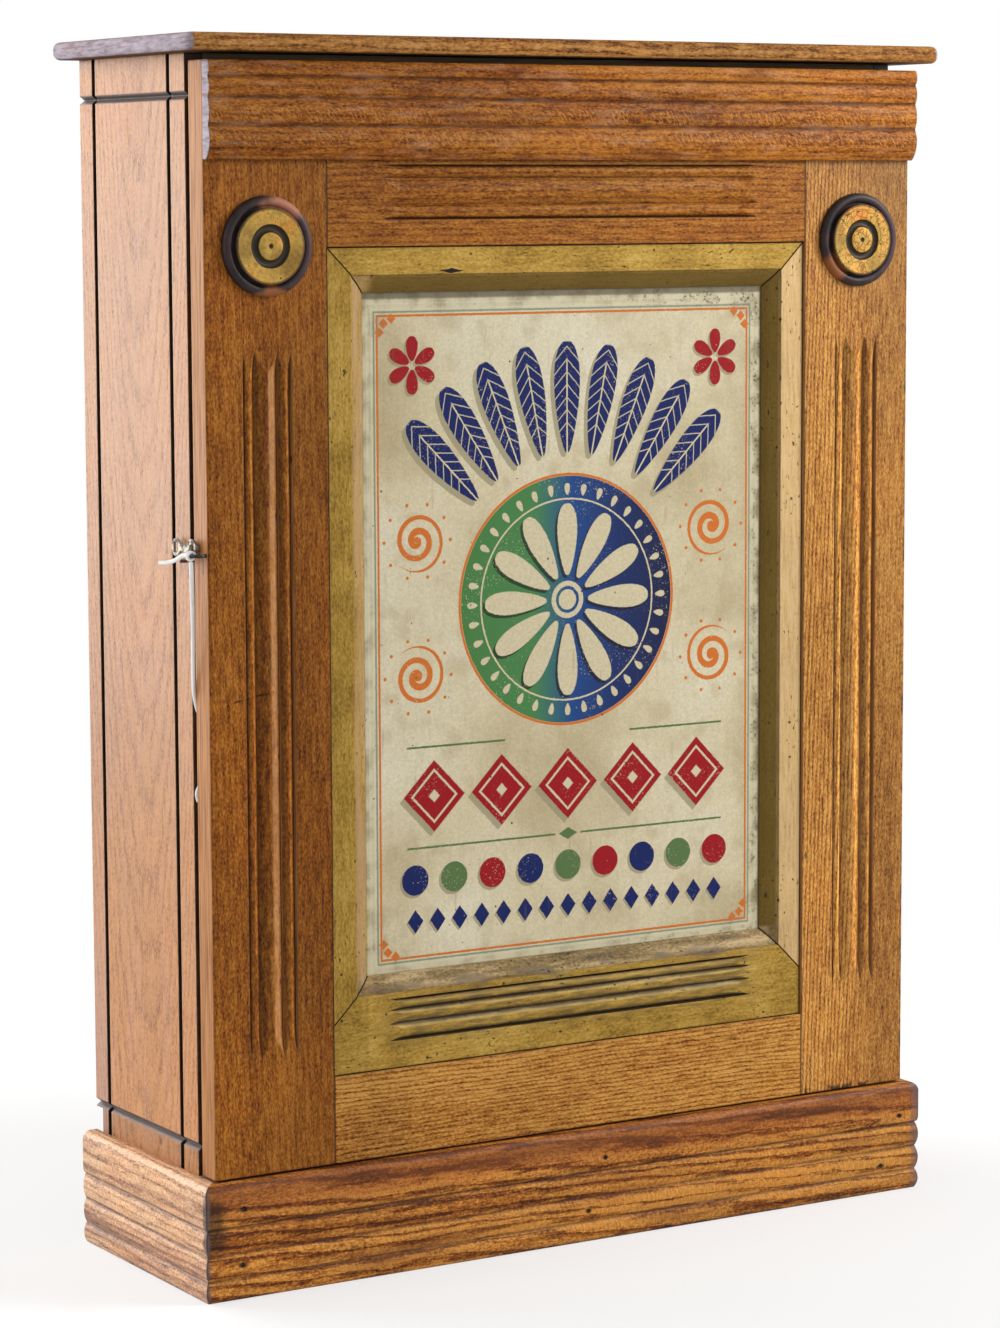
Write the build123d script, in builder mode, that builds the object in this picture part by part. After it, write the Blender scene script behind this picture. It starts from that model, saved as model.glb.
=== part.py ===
"""Counter-top dye cabinet in oak: a shallow case of pigeonholes behind one full-height door.

Millimetres. X runs to the right, Y to the back and Z up, and the origin is at the middle of the
overall box, on the floor. The door hangs on two butt hinges at its right edge.
"""
from build123d import *
import math
import os

os.makedirs("parts", exist_ok=True)

# Case boards
case_width = 516.0
case_depth = 143.9
case_height = 749.0
side_thickness = 16.0
back_thickness = 9.5
back_rabbet_width = 8.0
back_board_count = 3
floor_thickness = 15.0
ceiling_thickness = 10.0
housing_depth = 4.0
joint_clearance = 0.2

# Grooves cut in the outer face of each side
kerf_width = 4.4
kerf_depth = 3.0
rear_kerf_inset = 19.8
front_kerf_inset = 21.8
vee_width = 5.0
vee_depth = 3.2
upper_vee_drop = 24.7
lower_vee_height = 90.4

# Top slab
slab_thickness = 11.0
slab_side_overhang = 15.25
slab_front_overhang = 14.0
slab_back_overhang = 9.5
slab_corner_radius = 5.5
slab_edge_radius = 4.4

# Pigeonholes
shelf_count = 6
divider_count = 3
shelf_thickness = 6.0
divider_thickness = 6.0
shelf_setback = 2.0

# Plinth
plinth_height = 72.5
plinth_moulding_thickness = 10.1
plinth_valley_depth = 1.8
plinth_valley_heights = (13.0, 28.6, 45.0)
plinth_shoulder_rise = 6.0
plinth_top_round = 6.0
plinth_front_proud = 6.5
plinth_back_rail_thickness = 18.0
glue_block_size = 18.0
glue_block_length = 46.0

# Door
door_gap = 4.4
door_thickness = 18.2
door_bottom_clearance = 1.5
door_top_clearance = 4.6
stile_width = 82.5
top_rail_height = 109.7
bottom_rail_height = 53.9
tenon_thickness = 6.0
tenon_length = 30.0
tenon_shoulder = 11.0
stile_edge_round = 1.0

# Frieze moulding across the head of the door, with the heights of its beads from the top down
frieze_bead_heights = (9.4, 12.4, 16.1, 20.0)
frieze_projection = 9.2
frieze_valley_depth = 2.0
frieze_foot_projection = 4.0

# Stopped reeding, left by a moulding cutter that is lowered into the face and lifted out again
reed_widths = (7.4, 16.0, 9.0)
sign_reed_widths = (6.7, 8.7, 10.6)
reed_depth = 3.0
reed_crest_drop = 0.35
reed_cutter_radius = 45.0
stile_reed_rise = 71.0
stile_reed_gap = 32.5
rail_reed_half_length = 138.0
rail_reed_drop = 3.2
sign_reed_half_length = 136.0
sign_reed_foot = 17.6

# Rosettes at the heads of the stiles
rosette_drop = 51.0
rosette_radius = 30.0
rosette_disc_radius = 23.0
rosette_ring_outer = 13.0
rosette_ring_inner = 8.2
rosette_collar_projection = 4.4
rosette_face_projection = 6.5
rosette_dimple_radius = 1.3

# Gilt frame and the tin sign that it holds
frame_clearance = 0.4
frame_width = 28.0
frame_bevel = 10.8
frame_foot_height = 58.7
frame_recess = 1.7
frame_quirk_depth = 1.0
frame_lip_depth = 6.8
frame_lip_thickness = 1.0
frame_bevel_hollow = 0.7
frame_mitre_gap = 0.4
frame_back_inset = 0.5
sign_rabbet = 8.0
sign_clearance = 0.5
sign_thickness = 0.5
sign_back_thickness = 4.5
sign_strip_width = 6.0

# Butt hinges
hinge_stand_off = 3.6
hinge_leaf_height = 51.0
hinge_leaf_width = 14.6
hinge_leaf_thickness = 1.5
hinge_barrel_radius = 3.1
hinge_pin_radius = 1.5
hinge_knuckles = 5
hinge_knuckle_gap = 0.3
hinge_inset = 105.0
hinge_screw_pitch = 18.0
running_clearance = 0.05

# Wood screws and nails
screw_shank_radius = 1.35
screw_head_radius = 2.7
screw_length = 13.0
slab_screw_length = 18.0
slab_screw_inset = 38.0
nail_radius = 0.9
nail_length = 22.0
nail_set_depth = 0.8
nail_set_radius = 1.5

# Swinging catch on the door's free edge, and the pin that it drops behind
catch_height = 456.5
catch_inset = 14.5
catch_stand_off = 2.3
catch_thickness = 1.2
catch_play = 0.1
catch_boss_radius = 5.8
catch_neck_width = 4.6
catch_ring_radius = 5.4
catch_ring_hole_radius = 3.3
catch_reach = 20.5
catch_ring_sag = 0.5
catch_screw_radius = 1.45
catch_screw_head_radius = 2.8
catch_screw_head_height = 1.2
catch_screw_depth = 14.0
catch_spacer_radius = 3.2
keeper_radius = 1.1
keeper_stand_off = 4.5
keeper_inset = 5.5
keeper_drop = 8.3
keeper_depth = 12.0

# Iron hook beside the catch, with a cotton string knotted to its tip
hook_wire_radius = 1.15
hook_depth = 10.0
hook_inset = 2.4
hook_drop = 3.3
hook_stand_off = 8.0
hook_reach = 6.2
hook_bend_radius = 2.0
string_diameter = 2.4
knot_radius = 3.3
knot_length = 4.0

# Set nails through the front moulding: end of the case that each is measured from, offset, height
nail_spots = (
    (-1, 15.6, 56.0),
    (-1, 14.2, 21.5),
    (0, 17.8, 53.5),
    (0, 4.9, 20.2),
    (1, -5.9, 51.0),
    (1, -21.3, 18.5),
)

# The string's route from the knot: a long tail down into the gap behind the door, a short end
tail_route = [
    (-265.8, -74.4, 449.8),
    (-265.2, -73.9, 434.0),
    (-263.9, -72.0, 414.0),
    (-261.6, -67.2, 390.0),
    (-258.4, -61.4, 361.0),
    (-256.3, -60.5, 331.0),
    (-255.2, -60.7, 304.0),
]
short_end_route = [
    (-266.6, -72.4, 453.6),
    (-266.6, -66.4, 453.6),
    (-267.3, -56.6, 449.2),
    (-268.1, -46.6, 447.0),
    (-268.6, -38.0, 446.6),
]

# Levels and faces that follow from the sizes above
case_half = case_width / 2
slab_half = case_half + slab_side_overhang
slab_depth = slab_front_overhang + door_thickness + door_gap + case_depth + slab_back_overhang
case_back = slab_depth / 2 - slab_back_overhang
case_front = case_back - case_depth
door_back = case_front - door_gap
door_front = door_back - door_thickness
board_back = case_back - back_thickness
inner_half = case_half - side_thickness
board_half = inner_half + housing_depth - joint_clearance
heel_height = lower_vee_height - vee_width / 2
door_foot = plinth_height + door_bottom_clearance
door_head = case_height - door_top_clearance
floor_height = heel_height
ceiling_height = case_height - ceiling_thickness
plinth_front = door_front - plinth_front_proud
plinth_rail_front = plinth_front + plinth_moulding_thickness
plinth_outer = case_half + plinth_moulding_thickness
opening_half = case_half - stile_width
opening_foot = door_foot + bottom_rail_height
opening_head = door_head - top_rail_height
stile_middle = case_half - stile_width / 2
door_middle = (door_front + door_back) / 2
frieze_foot = door_head - sum(frieze_bead_heights)
rosette_level = frieze_foot - rosette_drop
stile_reed_foot = door_foot + stile_reed_rise
stile_reed_head = rosette_level - rosette_radius - stile_reed_gap
shelf_front = case_front + shelf_setback
crossing = (shelf_front + board_back) / 2
hole_height = (ceiling_height - floor_height - shelf_count * shelf_thickness) / (shelf_count + 1)
hole_width = (2 * inner_half - divider_count * divider_thickness) / (divider_count + 1)
shelf_levels = [
    floor_height + (row + 1) * hole_height + row * shelf_thickness for row in range(shelf_count)
]
divider_places = [
    -inner_half + (column + 1) * hole_width + (column + 0.5) * divider_thickness
    for column in range(divider_count)
]
hinge_x = case_half + hinge_stand_off
hinge_y = (case_front + door_back) / 2
hinge_levels = {"lower": door_foot + hinge_inset, "upper": door_head - hinge_inset}
hinge_leaf_edge = case_half - joint_clearance
hinge_screw_x = hinge_leaf_edge - hinge_leaf_width / 2
catch_y = door_front + catch_inset
catch_inner = case_half + catch_stand_off + catch_play
catch_outer = catch_inner + catch_thickness
keeper_y = case_front + keeper_inset
keeper_z = catch_height - keeper_drop
hook_x = case_half + hook_stand_off
hook_y = door_front + hook_inset
hook_z = catch_height - hook_drop
nail_places = [(end * case_half + offset, height) for end, offset, height in nail_spots]


def front_plane(x, y, z, along=(1, 0, 0)):
    """A plane that faces the front, at a point, with its local X along a given direction."""
    return Plane(origin=(x, y, z), x_dir=along, z_dir=(0, -1, 0))


def outward_plane(x, y, z):
    """A plane that faces out to the left, at a point: local X to the back and local Y down."""
    return Plane(origin=(x, y, z), x_dir=(0, 1, 0), z_dir=(-1, 0, 0))


def box_between(low, high):
    """Adds a box to the open part, between two opposite corners."""
    with Locations(tuple((a + b) / 2 for a, b in zip(low, high))):
        Box(*(b - a for a, b in zip(low, high)))


def cut_between(low, high):
    """Cuts a box out of the open part, between two opposite corners."""
    with Locations(tuple((a + b) / 2 for a, b in zip(low, high))):
        Box(*(b - a for a, b in zip(low, high)), mode=Mode.SUBTRACT)


def beads(points, crest):
    """Draws one arc from each point to the next, all of them up to the same crest in X."""
    for start, end in zip(points[:-1], points[1:]):
        ThreePointArc(start, (crest, (start[1] + end[1]) / 2), end)


def write(part, name):
    """Labels a finished piece and writes its STEP file."""
    part.label = name
    export_step(part, f"parts/{name}.step")


def reed_cutter(widths, length):
    """A solid that cuts stopped reeding: it lies along X, works into -Z and is centred on Y.

    Its section is one arc per bead between sharp quirks. Both ends rise on the cutter's radius,
    so each quirk runs out in a point.
    """
    total = sum(widths)
    quirks = [sum(widths[:i]) - total / 2 for i in range(len(widths) + 1)]
    lift = math.acos(1 - reed_depth / reed_cutter_radius)
    straight = length - 2 * reed_cutter_radius * math.sin(lift)
    section = Plane(origin=(0, 0, 0), x_dir=(0, 1, 0), z_dir=(1, 0, 0))
    with BuildPart() as cutter:
        with BuildSketch(section) as profile:
            with BuildLine():
                for left, right in zip(quirks[:-1], quirks[1:]):
                    crest = ((left + right) / 2, -reed_crest_drop)
                    ThreePointArc((left, -reed_depth), crest, (right, -reed_depth))
                Polyline(
                    (quirks[-1], -reed_depth),
                    (quirks[-1] + 0.6, 1),
                    (quirks[0] - 0.6, 1),
                    (quirks[0], -reed_depth),
                )
            make_face()
        extrude(amount=straight / 2, both=True)
        for end in (-1, 1):
            turning = Axis((end * straight / 2, 0, reed_cutter_radius - reed_depth), (0, -end, 0))
            end_section = Pos(end * straight / 2, 0, 0) * profile.sketch
            revolve(end_section, axis=turning, revolution_arc=math.degrees(lift) + 3)
    return cutter.part


def wood_screw(length):
    """A flat-headed wood screw that points along -Z, with the face of its head at the origin."""
    with BuildPart() as screw:
        with BuildSketch(Plane.XZ):
            with BuildLine():
                Polyline(
                    (0, 0),
                    (screw_head_radius, 0),
                    (screw_shank_radius, screw_shank_radius - screw_head_radius),
                    (screw_shank_radius, 3 * screw_shank_radius - length),
                    (0.2, -length),
                    (0, -length),
                    close=True,
                )
            make_face()
        revolve(axis=Axis.Z)
    return screw.part


def screw_hole(length):
    """The hole that such a screw stands in, a running clearance wider all round."""
    wide, narrow = screw_head_radius + running_clearance, screw_shank_radius + running_clearance
    with BuildPart() as hole:
        with BuildSketch(Plane.XZ):
            with BuildLine():
                Polyline(
                    (0, 1),
                    (wide, 1),
                    (wide, 0),
                    (narrow, screw_shank_radius - screw_head_radius),
                    (narrow, -length - 1),
                    (0, -length - 1),
                    close=True,
                )
            make_face()
        revolve(axis=Axis.Z)
    return hole.part


stile_reeds = reed_cutter(reed_widths, stile_reed_head - stile_reed_foot)
rail_reeds = reed_cutter(reed_widths, 2 * rail_reed_half_length)
sign_reeds = reed_cutter(sign_reed_widths, 2 * sign_reed_half_length)
hinge_screw = wood_screw(screw_length)
hinge_screw_hole = screw_hole(screw_length)
slab_screw = wood_screw(slab_screw_length)
slab_screw_hole = screw_hole(slab_screw_length)

hinge_screw_levels = [
    level + step * hinge_screw_pitch for level in hinge_levels.values() for step in (-1, 0, 1)
]
case_screw_places = [
    Plane((hinge_screw_x, case_front - hinge_leaf_thickness, z), (1, 0, 0), (0, -1, 0)).location
    for z in hinge_screw_levels
]
door_screw_places = [
    Plane((hinge_screw_x, door_back + hinge_leaf_thickness, z), (1, 0, 0), (0, 1, 0)).location
    for z in hinge_screw_levels
]
slab_screw_places = [
    Plane((x, y, ceiling_height), (1, 0, 0), (0, 0, -1)).location
    for x in [-inner_half + (column + 0.5) * (hole_width + divider_thickness)
              - divider_thickness / 2 for column in range(divider_count + 1)]
    for y in (case_front + slab_screw_inset, board_back - slab_screw_inset)
]


def case_side(sign):
    """One side of the case: sign is -1 on the left and 1 on the right."""
    outer = sign * case_half
    inner = sign * inner_half
    with BuildPart() as side:
        box_between(
            (min(outer, inner), case_front, 0),
            (max(outer, inner), case_back, case_height),
        )
        kerf = sorted((outer + sign, outer - sign * kerf_depth))
        for y in (case_back - rear_kerf_inset, case_front + front_kerf_inset):
            cut_between((kerf[0], y - kerf_width / 2, -1), (kerf[1], y + kerf_width / 2, case_height + 1))
        with BuildSketch(Plane.XZ.offset(-case_back - 1)):
            for z in (case_height - upper_vee_drop, lower_vee_height):
                with BuildLine():
                    Polyline(
                        (outer, z - vee_width / 2),
                        (outer - sign * vee_depth, z),
                        (outer, z + vee_width / 2),
                        (outer + sign, z),
                        close=True,
                    )
                make_face()
        extrude(amount=case_depth + 2, mode=Mode.SUBTRACT)
        cut_between(
            (-case_half - 1, board_back, -1),
            (case_half + 1, case_back + 1, heel_height),
        )
        rabbet = sorted((inner - sign, inner + sign * back_rabbet_width))
        cut_between((rabbet[0], board_back, 0), (rabbet[1], case_back + 1, case_height + 1))
        housing = sorted((inner - sign, inner + sign * housing_depth))
        boards = [(z, shelf_thickness) for z in shelf_levels]
        boards += [(floor_height - floor_thickness, floor_thickness), (ceiling_height, ceiling_thickness)]
        for z, thickness in boards:
            cut_between(
                (housing[0], case_front - 1, z - joint_clearance),
                (housing[1], board_back + 1, z + thickness + joint_clearance),
            )
        if sign > 0:
            with Locations(*case_screw_places):
                add(hinge_screw_hole, mode=Mode.SUBTRACT)
        else:
            with Locations(outward_plane(outer, keeper_y, keeper_z).location):
                Hole(keeper_radius + running_clearance, depth=keeper_depth)
    return side.part


write(case_side(-1), "case_side_left")
write(case_side(1), "case_side_right")

# Boards housed in the sides
with BuildPart() as bottom_board:
    box_between(
        (-board_half, case_front, floor_height - floor_thickness),
        (board_half, board_back, floor_height),
    )
write(bottom_board.part, "bottom_board")

with BuildPart() as inner_top_board:
    box_between((-board_half, case_front, ceiling_height), (board_half, board_back, case_height))
    with Locations(*slab_screw_places):
        add(slab_screw_hole, mode=Mode.SUBTRACT)
write(inner_top_board.part, "inner_top_board")

with BuildPart() as top_slab:
    with BuildSketch(Plane.XY.offset(case_height)):
        RectangleRounded(2 * slab_half, slab_depth, slab_corner_radius)
    extrude(amount=slab_thickness)
    fillet(top_slab.edges().filter_by(Axis.Z, reverse=True), slab_edge_radius)
    with Locations(*slab_screw_places):
        add(slab_screw_hole, mode=Mode.SUBTRACT)
write(top_slab.part, "top_slab")

with BuildPart() as slab_screws:
    with Locations(*slab_screw_places):
        add(slab_screw)
write(slab_screws.part, "slab_screws")

# Back boards, standing side by side in the rabbets
back_half = inner_half + back_rabbet_width - joint_clearance
back_pitch = 2 * back_half / back_board_count
for board in range(back_board_count):
    left = -back_half + board * back_pitch
    with BuildPart() as back_board:
        box_between(
            (left + joint_clearance / 2, board_back, heel_height),
            (left + back_pitch - joint_clearance / 2, case_back, case_height),
        )
    write(back_board.part, f"back_board_{board + 1}")

# Shelves and dividers, halved over each other where they cross
for row, level in enumerate(shelf_levels):
    with BuildPart() as shelf:
        box_between((-board_half, shelf_front, level), (board_half, board_back, level + shelf_thickness))
        half_slot = divider_thickness / 2 + joint_clearance
        for x in divider_places:
            cut_between(
                (x - half_slot, crossing - joint_clearance, level - 1),
                (x + half_slot, board_back + 1, level + shelf_thickness + 1),
            )
    write(shelf.part, f"shelf_{row + 1}")

for column, x in enumerate(divider_places):
    with BuildPart() as divider:
        box_between(
            (x - divider_thickness / 2, shelf_front, floor_height),
            (x + divider_thickness / 2, board_back, ceiling_height),
        )
        for level in shelf_levels:
            cut_between(
                (x - divider_thickness, shelf_front - 1, level - joint_clearance),
                (x + divider_thickness, crossing + joint_clearance, level + shelf_thickness + joint_clearance),
            )
    write(divider.part, f"divider_{column + 1}")


def plinth_section(plane):
    """Sketch of the plinth moulding: local X runs outwards from its back and local Y up."""
    crest = plinth_moulding_thickness
    valley = crest - plinth_valley_depth
    shoulder = plinth_valley_heights[-1]
    nose = plinth_height - plinth_top_round
    with BuildSketch(plane) as section:
        with BuildLine():
            beads([(valley, z) for z in (0, *plinth_valley_heights)], crest)
            Spline(
                (valley, shoulder),
                (crest, shoulder + plinth_shoulder_rise),
                tangents=((1, 0.4), (0, 1)),
            )
            Line((crest, shoulder + plinth_shoulder_rise), (crest, nose))
            RadiusArc((crest, nose), (crest - plinth_top_round, plinth_height), -plinth_top_round)
            Polyline((crest - plinth_top_round, plinth_height), (0, plinth_height), (0, 0), (valley, 0))
        make_face()
    return section.sketch


plinth_across = Plane(origin=(-plinth_outer, plinth_rail_front, 0), x_dir=(0, -1, 0), z_dir=(-1, 0, 0))
front_section = plinth_section(plinth_across)

with BuildPart() as base_front_moulding:
    extrude(front_section, amount=-2 * plinth_outer)
    for end in (-1, 1):
        mitre = Plane(origin=(end * plinth_outer, plinth_front, 0), z_dir=(-end, -1, 0))
        split(bisect_by=mitre, keep=Keep.TOP)
    with Locations(*(front_plane(x, plinth_front, z).location for x, z in nail_places)):
        Hole(nail_radius + running_clearance)
        Hole(nail_set_radius, depth=nail_set_depth)
write(base_front_moulding.part, "base_front_moulding")

for end, name in ((-1, "base_left_moulding"), (1, "base_right_moulding")):
    side_section = plinth_section(Plane((end * case_half, case_back, 0), (end, 0, 0), (0, -end, 0)))
    with BuildPart() as base_side_moulding:
        extrude(side_section, amount=end * (case_back - plinth_front))
        mitre = Plane(origin=(end * plinth_outer, plinth_front, 0), z_dir=(end, 1, 0))
        split(bisect_by=mitre, keep=Keep.TOP)
    write(base_side_moulding.part, name)

with BuildPart() as base_front_rail:
    box_between((-case_half, plinth_rail_front, 0), (case_half, case_front, plinth_height))
    with Locations(*(front_plane(x, plinth_rail_front, z).location for x, z in nail_places)):
        Hole(nail_radius + running_clearance, depth=nail_length)
write(base_front_rail.part, "base_front_rail")

with BuildPart() as base_back_rail:
    box_between(
        (-inner_half, board_back - plinth_back_rail_thickness, 0),
        (inner_half, board_back, floor_height - floor_thickness),
    )
write(base_back_rail.part, "base_back_rail")

with BuildPart() as base_nails:
    with Locations(*(front_plane(x, plinth_front + nail_set_depth, z).location for x, z in nail_places)):
        Cylinder(nail_radius, nail_length, align=(Align.CENTER, Align.CENTER, Align.MAX))
write(base_nails.part, "base_nails")

# Glue blocks under the bottom board, at the front rail and at both sides
block_top = floor_height - floor_thickness
with BuildPart() as glue_blocks:
    for end in (-1, 1):
        middle = end * inner_half / 2
        box_between(
            (middle - glue_block_length / 2, case_front, block_top - glue_block_size),
            (middle + glue_block_length / 2, case_front + glue_block_size, block_top),
        )
        at_side = sorted((end * inner_half, end * (inner_half - glue_block_size)))
        box_between(
            (at_side[0], crossing - glue_block_length / 2, block_top - glue_block_size),
            (at_side[1], crossing + glue_block_length / 2, block_top),
        )
write(glue_blocks.part, "glue_blocks")

# Butt hinges: each leaf is screwed to its board and wraps round the pin in its own knuckles
pin_head_height = 1.2
pin_head_radius = hinge_barrel_radius - 0.8


def hinge_leaf(level, seat, face_out, own_knuckles):
    """One leaf of a hinge, on a board face at y = seat that it stands off towards face_out."""
    foot = level - hinge_leaf_height / 2
    knuckle = hinge_leaf_height / hinge_knuckles
    proud = seat + face_out * hinge_leaf_thickness
    low_y, high_y = sorted((seat, proud))
    screw_places = case_screw_places if face_out < 0 else door_screw_places
    with BuildPart() as leaf:
        box_between(
            (hinge_leaf_edge - hinge_leaf_width, low_y, foot),
            (hinge_leaf_edge, high_y, foot + hinge_leaf_height),
        )
        for index in own_knuckles:
            bottom = foot + index * knuckle + hinge_knuckle_gap / 2
            top = bottom + knuckle - hinge_knuckle_gap
            box_between((hinge_leaf_edge - 1, low_y, bottom), (hinge_x, high_y, top))
            with Locations((hinge_x, hinge_y, (bottom + top) / 2)):
                Cylinder(hinge_barrel_radius, top - bottom)
        with Locations((hinge_x, hinge_y, level)):
            Cylinder(hinge_pin_radius + running_clearance, hinge_leaf_height + 2, mode=Mode.SUBTRACT)
        with Locations(*screw_places):
            add(hinge_screw_hole, mode=Mode.SUBTRACT)
    return leaf.part


for where, level in hinge_levels.items():
    case_knuckles = range(0, hinge_knuckles, 2)
    door_knuckles = range(1, hinge_knuckles, 2)
    write(hinge_leaf(level, case_front, -1, case_knuckles), f"hinge_{where}_case_leaf")
    write(hinge_leaf(level, door_back, 1, door_knuckles), f"hinge_{where}_door_leaf")
    with BuildPart() as hinge_pin:
        with Locations((hinge_x, hinge_y, level)):
            Cylinder(hinge_pin_radius, hinge_leaf_height)
        for end in (-1, 1):
            cap = level + end * (hinge_leaf_height / 2 - hinge_knuckle_gap / 2 + pin_head_height / 2)
            with Locations((hinge_x, hinge_y, cap)):
                Cylinder(pin_head_radius, pin_head_height)
    write(hinge_pin.part, f"hinge_{where}_pin")

for name, places in (("case", case_screw_places), ("door", door_screw_places)):
    with BuildPart() as hinge_screws:
        with Locations(*places):
            add(hinge_screw)
    write(hinge_screws.part, f"hinge_screws_{name}")

# Door frame: rails tenoned into the stiles
tenon_low = door_middle - tenon_thickness / 2
tenon_high = door_middle + tenon_thickness / 2
rails = {
    "door_bottom_rail": (door_foot, opening_foot),
    "door_top_rail": (opening_head, door_head),
}
reed_middle = (stile_reed_foot + stile_reed_head) / 2
rail_reed_level = frieze_foot - rail_reed_drop - sum(reed_widths) / 2

for sign, name in ((-1, "door_stile_left"), (1, "door_stile_right")):
    with BuildPart() as stile:
        near, far = sorted((sign * case_half, sign * opening_half))
        box_between((near, door_front, door_foot), (far, door_back, door_head))
        outer_edges = stile.edges().filter_by(Axis.Z).filter_by_position(Axis.X, sign * case_half, sign * case_half)
        fillet(outer_edges, stile_edge_round)
        for foot, head in rails.values():
            mortise = sorted((sign * (opening_half - 1), sign * (opening_half + tenon_length + joint_clearance)))
            cut_between(
                (mortise[0], tenon_low - joint_clearance, foot + tenon_shoulder - joint_clearance),
                (mortise[1], tenon_high + joint_clearance, head - tenon_shoulder + joint_clearance),
            )
        reed_place = front_plane(sign * stile_middle, door_front, reed_middle, (0, 0, -1))
        with Locations(reed_place.location):
            add(stile_reeds, mode=Mode.SUBTRACT)
        if sign > 0:
            with Locations(*door_screw_places):
                add(hinge_screw_hole, mode=Mode.SUBTRACT)
        else:
            with Locations(outward_plane(-case_half, catch_y, catch_height).location):
                Hole(catch_screw_radius + running_clearance, depth=catch_screw_depth + 1)
            with Locations(outward_plane(-case_half, hook_y, hook_z).location):
                Hole(hook_wire_radius + running_clearance, depth=hook_depth)
    write(stile.part, name)

for name, (foot, head) in rails.items():
    with BuildPart() as rail:
        box_between((-opening_half, door_front, foot), (opening_half, door_back, head))
        tenon_half = opening_half + tenon_length
        box_between(
            (-tenon_half, tenon_low, foot + tenon_shoulder),
            (tenon_half, tenon_high, head - tenon_shoulder),
        )
        if name == "door_top_rail":
            with Locations(front_plane(0, door_front, rail_reed_level, (-1, 0, 0)).location):
                add(rail_reeds, mode=Mode.SUBTRACT)
    write(rail.part, name)

# Frieze moulding, planted across the head of the door
frieze_plane = Plane(origin=(-case_half, door_front, 0), x_dir=(0, -1, 0), z_dir=(-1, 0, 0))
frieze_levels = [door_head - sum(frieze_bead_heights[:i]) for i in range(len(frieze_bead_heights))]
frieze_valley = frieze_projection - frieze_valley_depth
with BuildSketch(frieze_plane) as frieze_section:
    with BuildLine():
        beads([(frieze_valley, z) for z in frieze_levels], frieze_projection)
        beads([(frieze_valley, frieze_levels[-1]), (frieze_foot_projection, frieze_foot)], frieze_projection)
        Polyline((frieze_foot_projection, frieze_foot), (0, frieze_foot), (0, door_head), (frieze_valley, door_head))
    make_face()

with BuildPart() as frieze_moulding:
    extrude(frieze_section.sketch, amount=-case_width)
write(frieze_moulding.part, "frieze_moulding")

# Turned rosettes, planted on the stiles
for sign, name in ((-1, "rosette_left"), (1, "rosette_right")):
    middle = (sign * stile_middle, door_front, rosette_level)
    face = rosette_face_projection
    rim = rosette_disc_radius
    with BuildPart() as rosette:
        with BuildSketch(Plane(origin=middle, x_dir=(1, 0, 0), z_dir=(0, 0, -1))):
            with BuildLine():
                Polyline((0, face - 1.2), (0, 0), (rosette_radius, 0), (rosette_radius, 1))
                ThreePointArc(
                    (rosette_radius, 1),
                    ((rosette_radius + rim) / 2 + 1, rosette_collar_projection),
                    (rim + 0.7, 2.4),
                )
                Polyline((rim + 0.7, 2.4), (rim, 2.4), (rim, face - 1))
                RadiusArc((rim, face - 1), (rim - 1, face), -1)
                Line((rim - 1, face), (rosette_ring_outer, face - 0.4))
                ThreePointArc(
                    (rosette_ring_outer, face - 0.4),
                    ((rosette_ring_outer + rosette_ring_inner) / 2, face - 2.3),
                    (rosette_ring_inner, face - 0.4),
                )
                ThreePointArc(
                    (rosette_ring_inner, face - 0.4),
                    ((rosette_ring_inner + rosette_dimple_radius) / 2, face + 0.1),
                    (rosette_dimple_radius, face - 0.1),
                )
                Line((rosette_dimple_radius, face - 0.1), (0, face - 1.2))
            make_face()
        revolve(axis=Axis(middle, (0, -1, 0)))
    write(rosette.part, name)

# Gilt frame inside the door's opening: mitred, with a deep member at the foot
frame_outer = opening_half - frame_clearance
frame_bottom = opening_foot + frame_clearance
frame_top = opening_head - frame_clearance
sight_half = opening_half - frame_width
sight_foot = opening_foot + frame_foot_height
sight_head = opening_head - frame_width
frame_face = door_front + frame_recess
frame_back = door_back - frame_back_inset
lip_front = frame_face + frame_lip_depth
lip_back = lip_front + frame_lip_thickness


def frame_section(plane, width):
    """Sketch of the frame's profile: local X from the outer edge inwards, local Y to the back."""
    step = frame_face + frame_quirk_depth
    corner = width - frame_bevel
    with BuildSketch(plane) as section:
        with BuildLine():
            Polyline((0, frame_back), (0, frame_face), (corner, frame_face), (corner, step))
            SagittaArc((corner, step), (width, lip_front), -frame_bevel_hollow)
            Polyline(
                (width, lip_front),
                (width, lip_back),
                (width - sign_rabbet, lip_back),
                (width - sign_rabbet, frame_back),
                (0, frame_back),
            )
        make_face()
    return section.sketch


def frame_mitre(x, z, towards):
    """The plane of a mitre through a sight corner, half a gap back on the side that is kept."""
    keep_x, keep_z = towards
    step = frame_mitre_gap / 2 / math.sqrt(2)
    return Plane(origin=(x + keep_x * step, 0, z + keep_z * step), z_dir=(keep_x, 0, keep_z))


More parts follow.
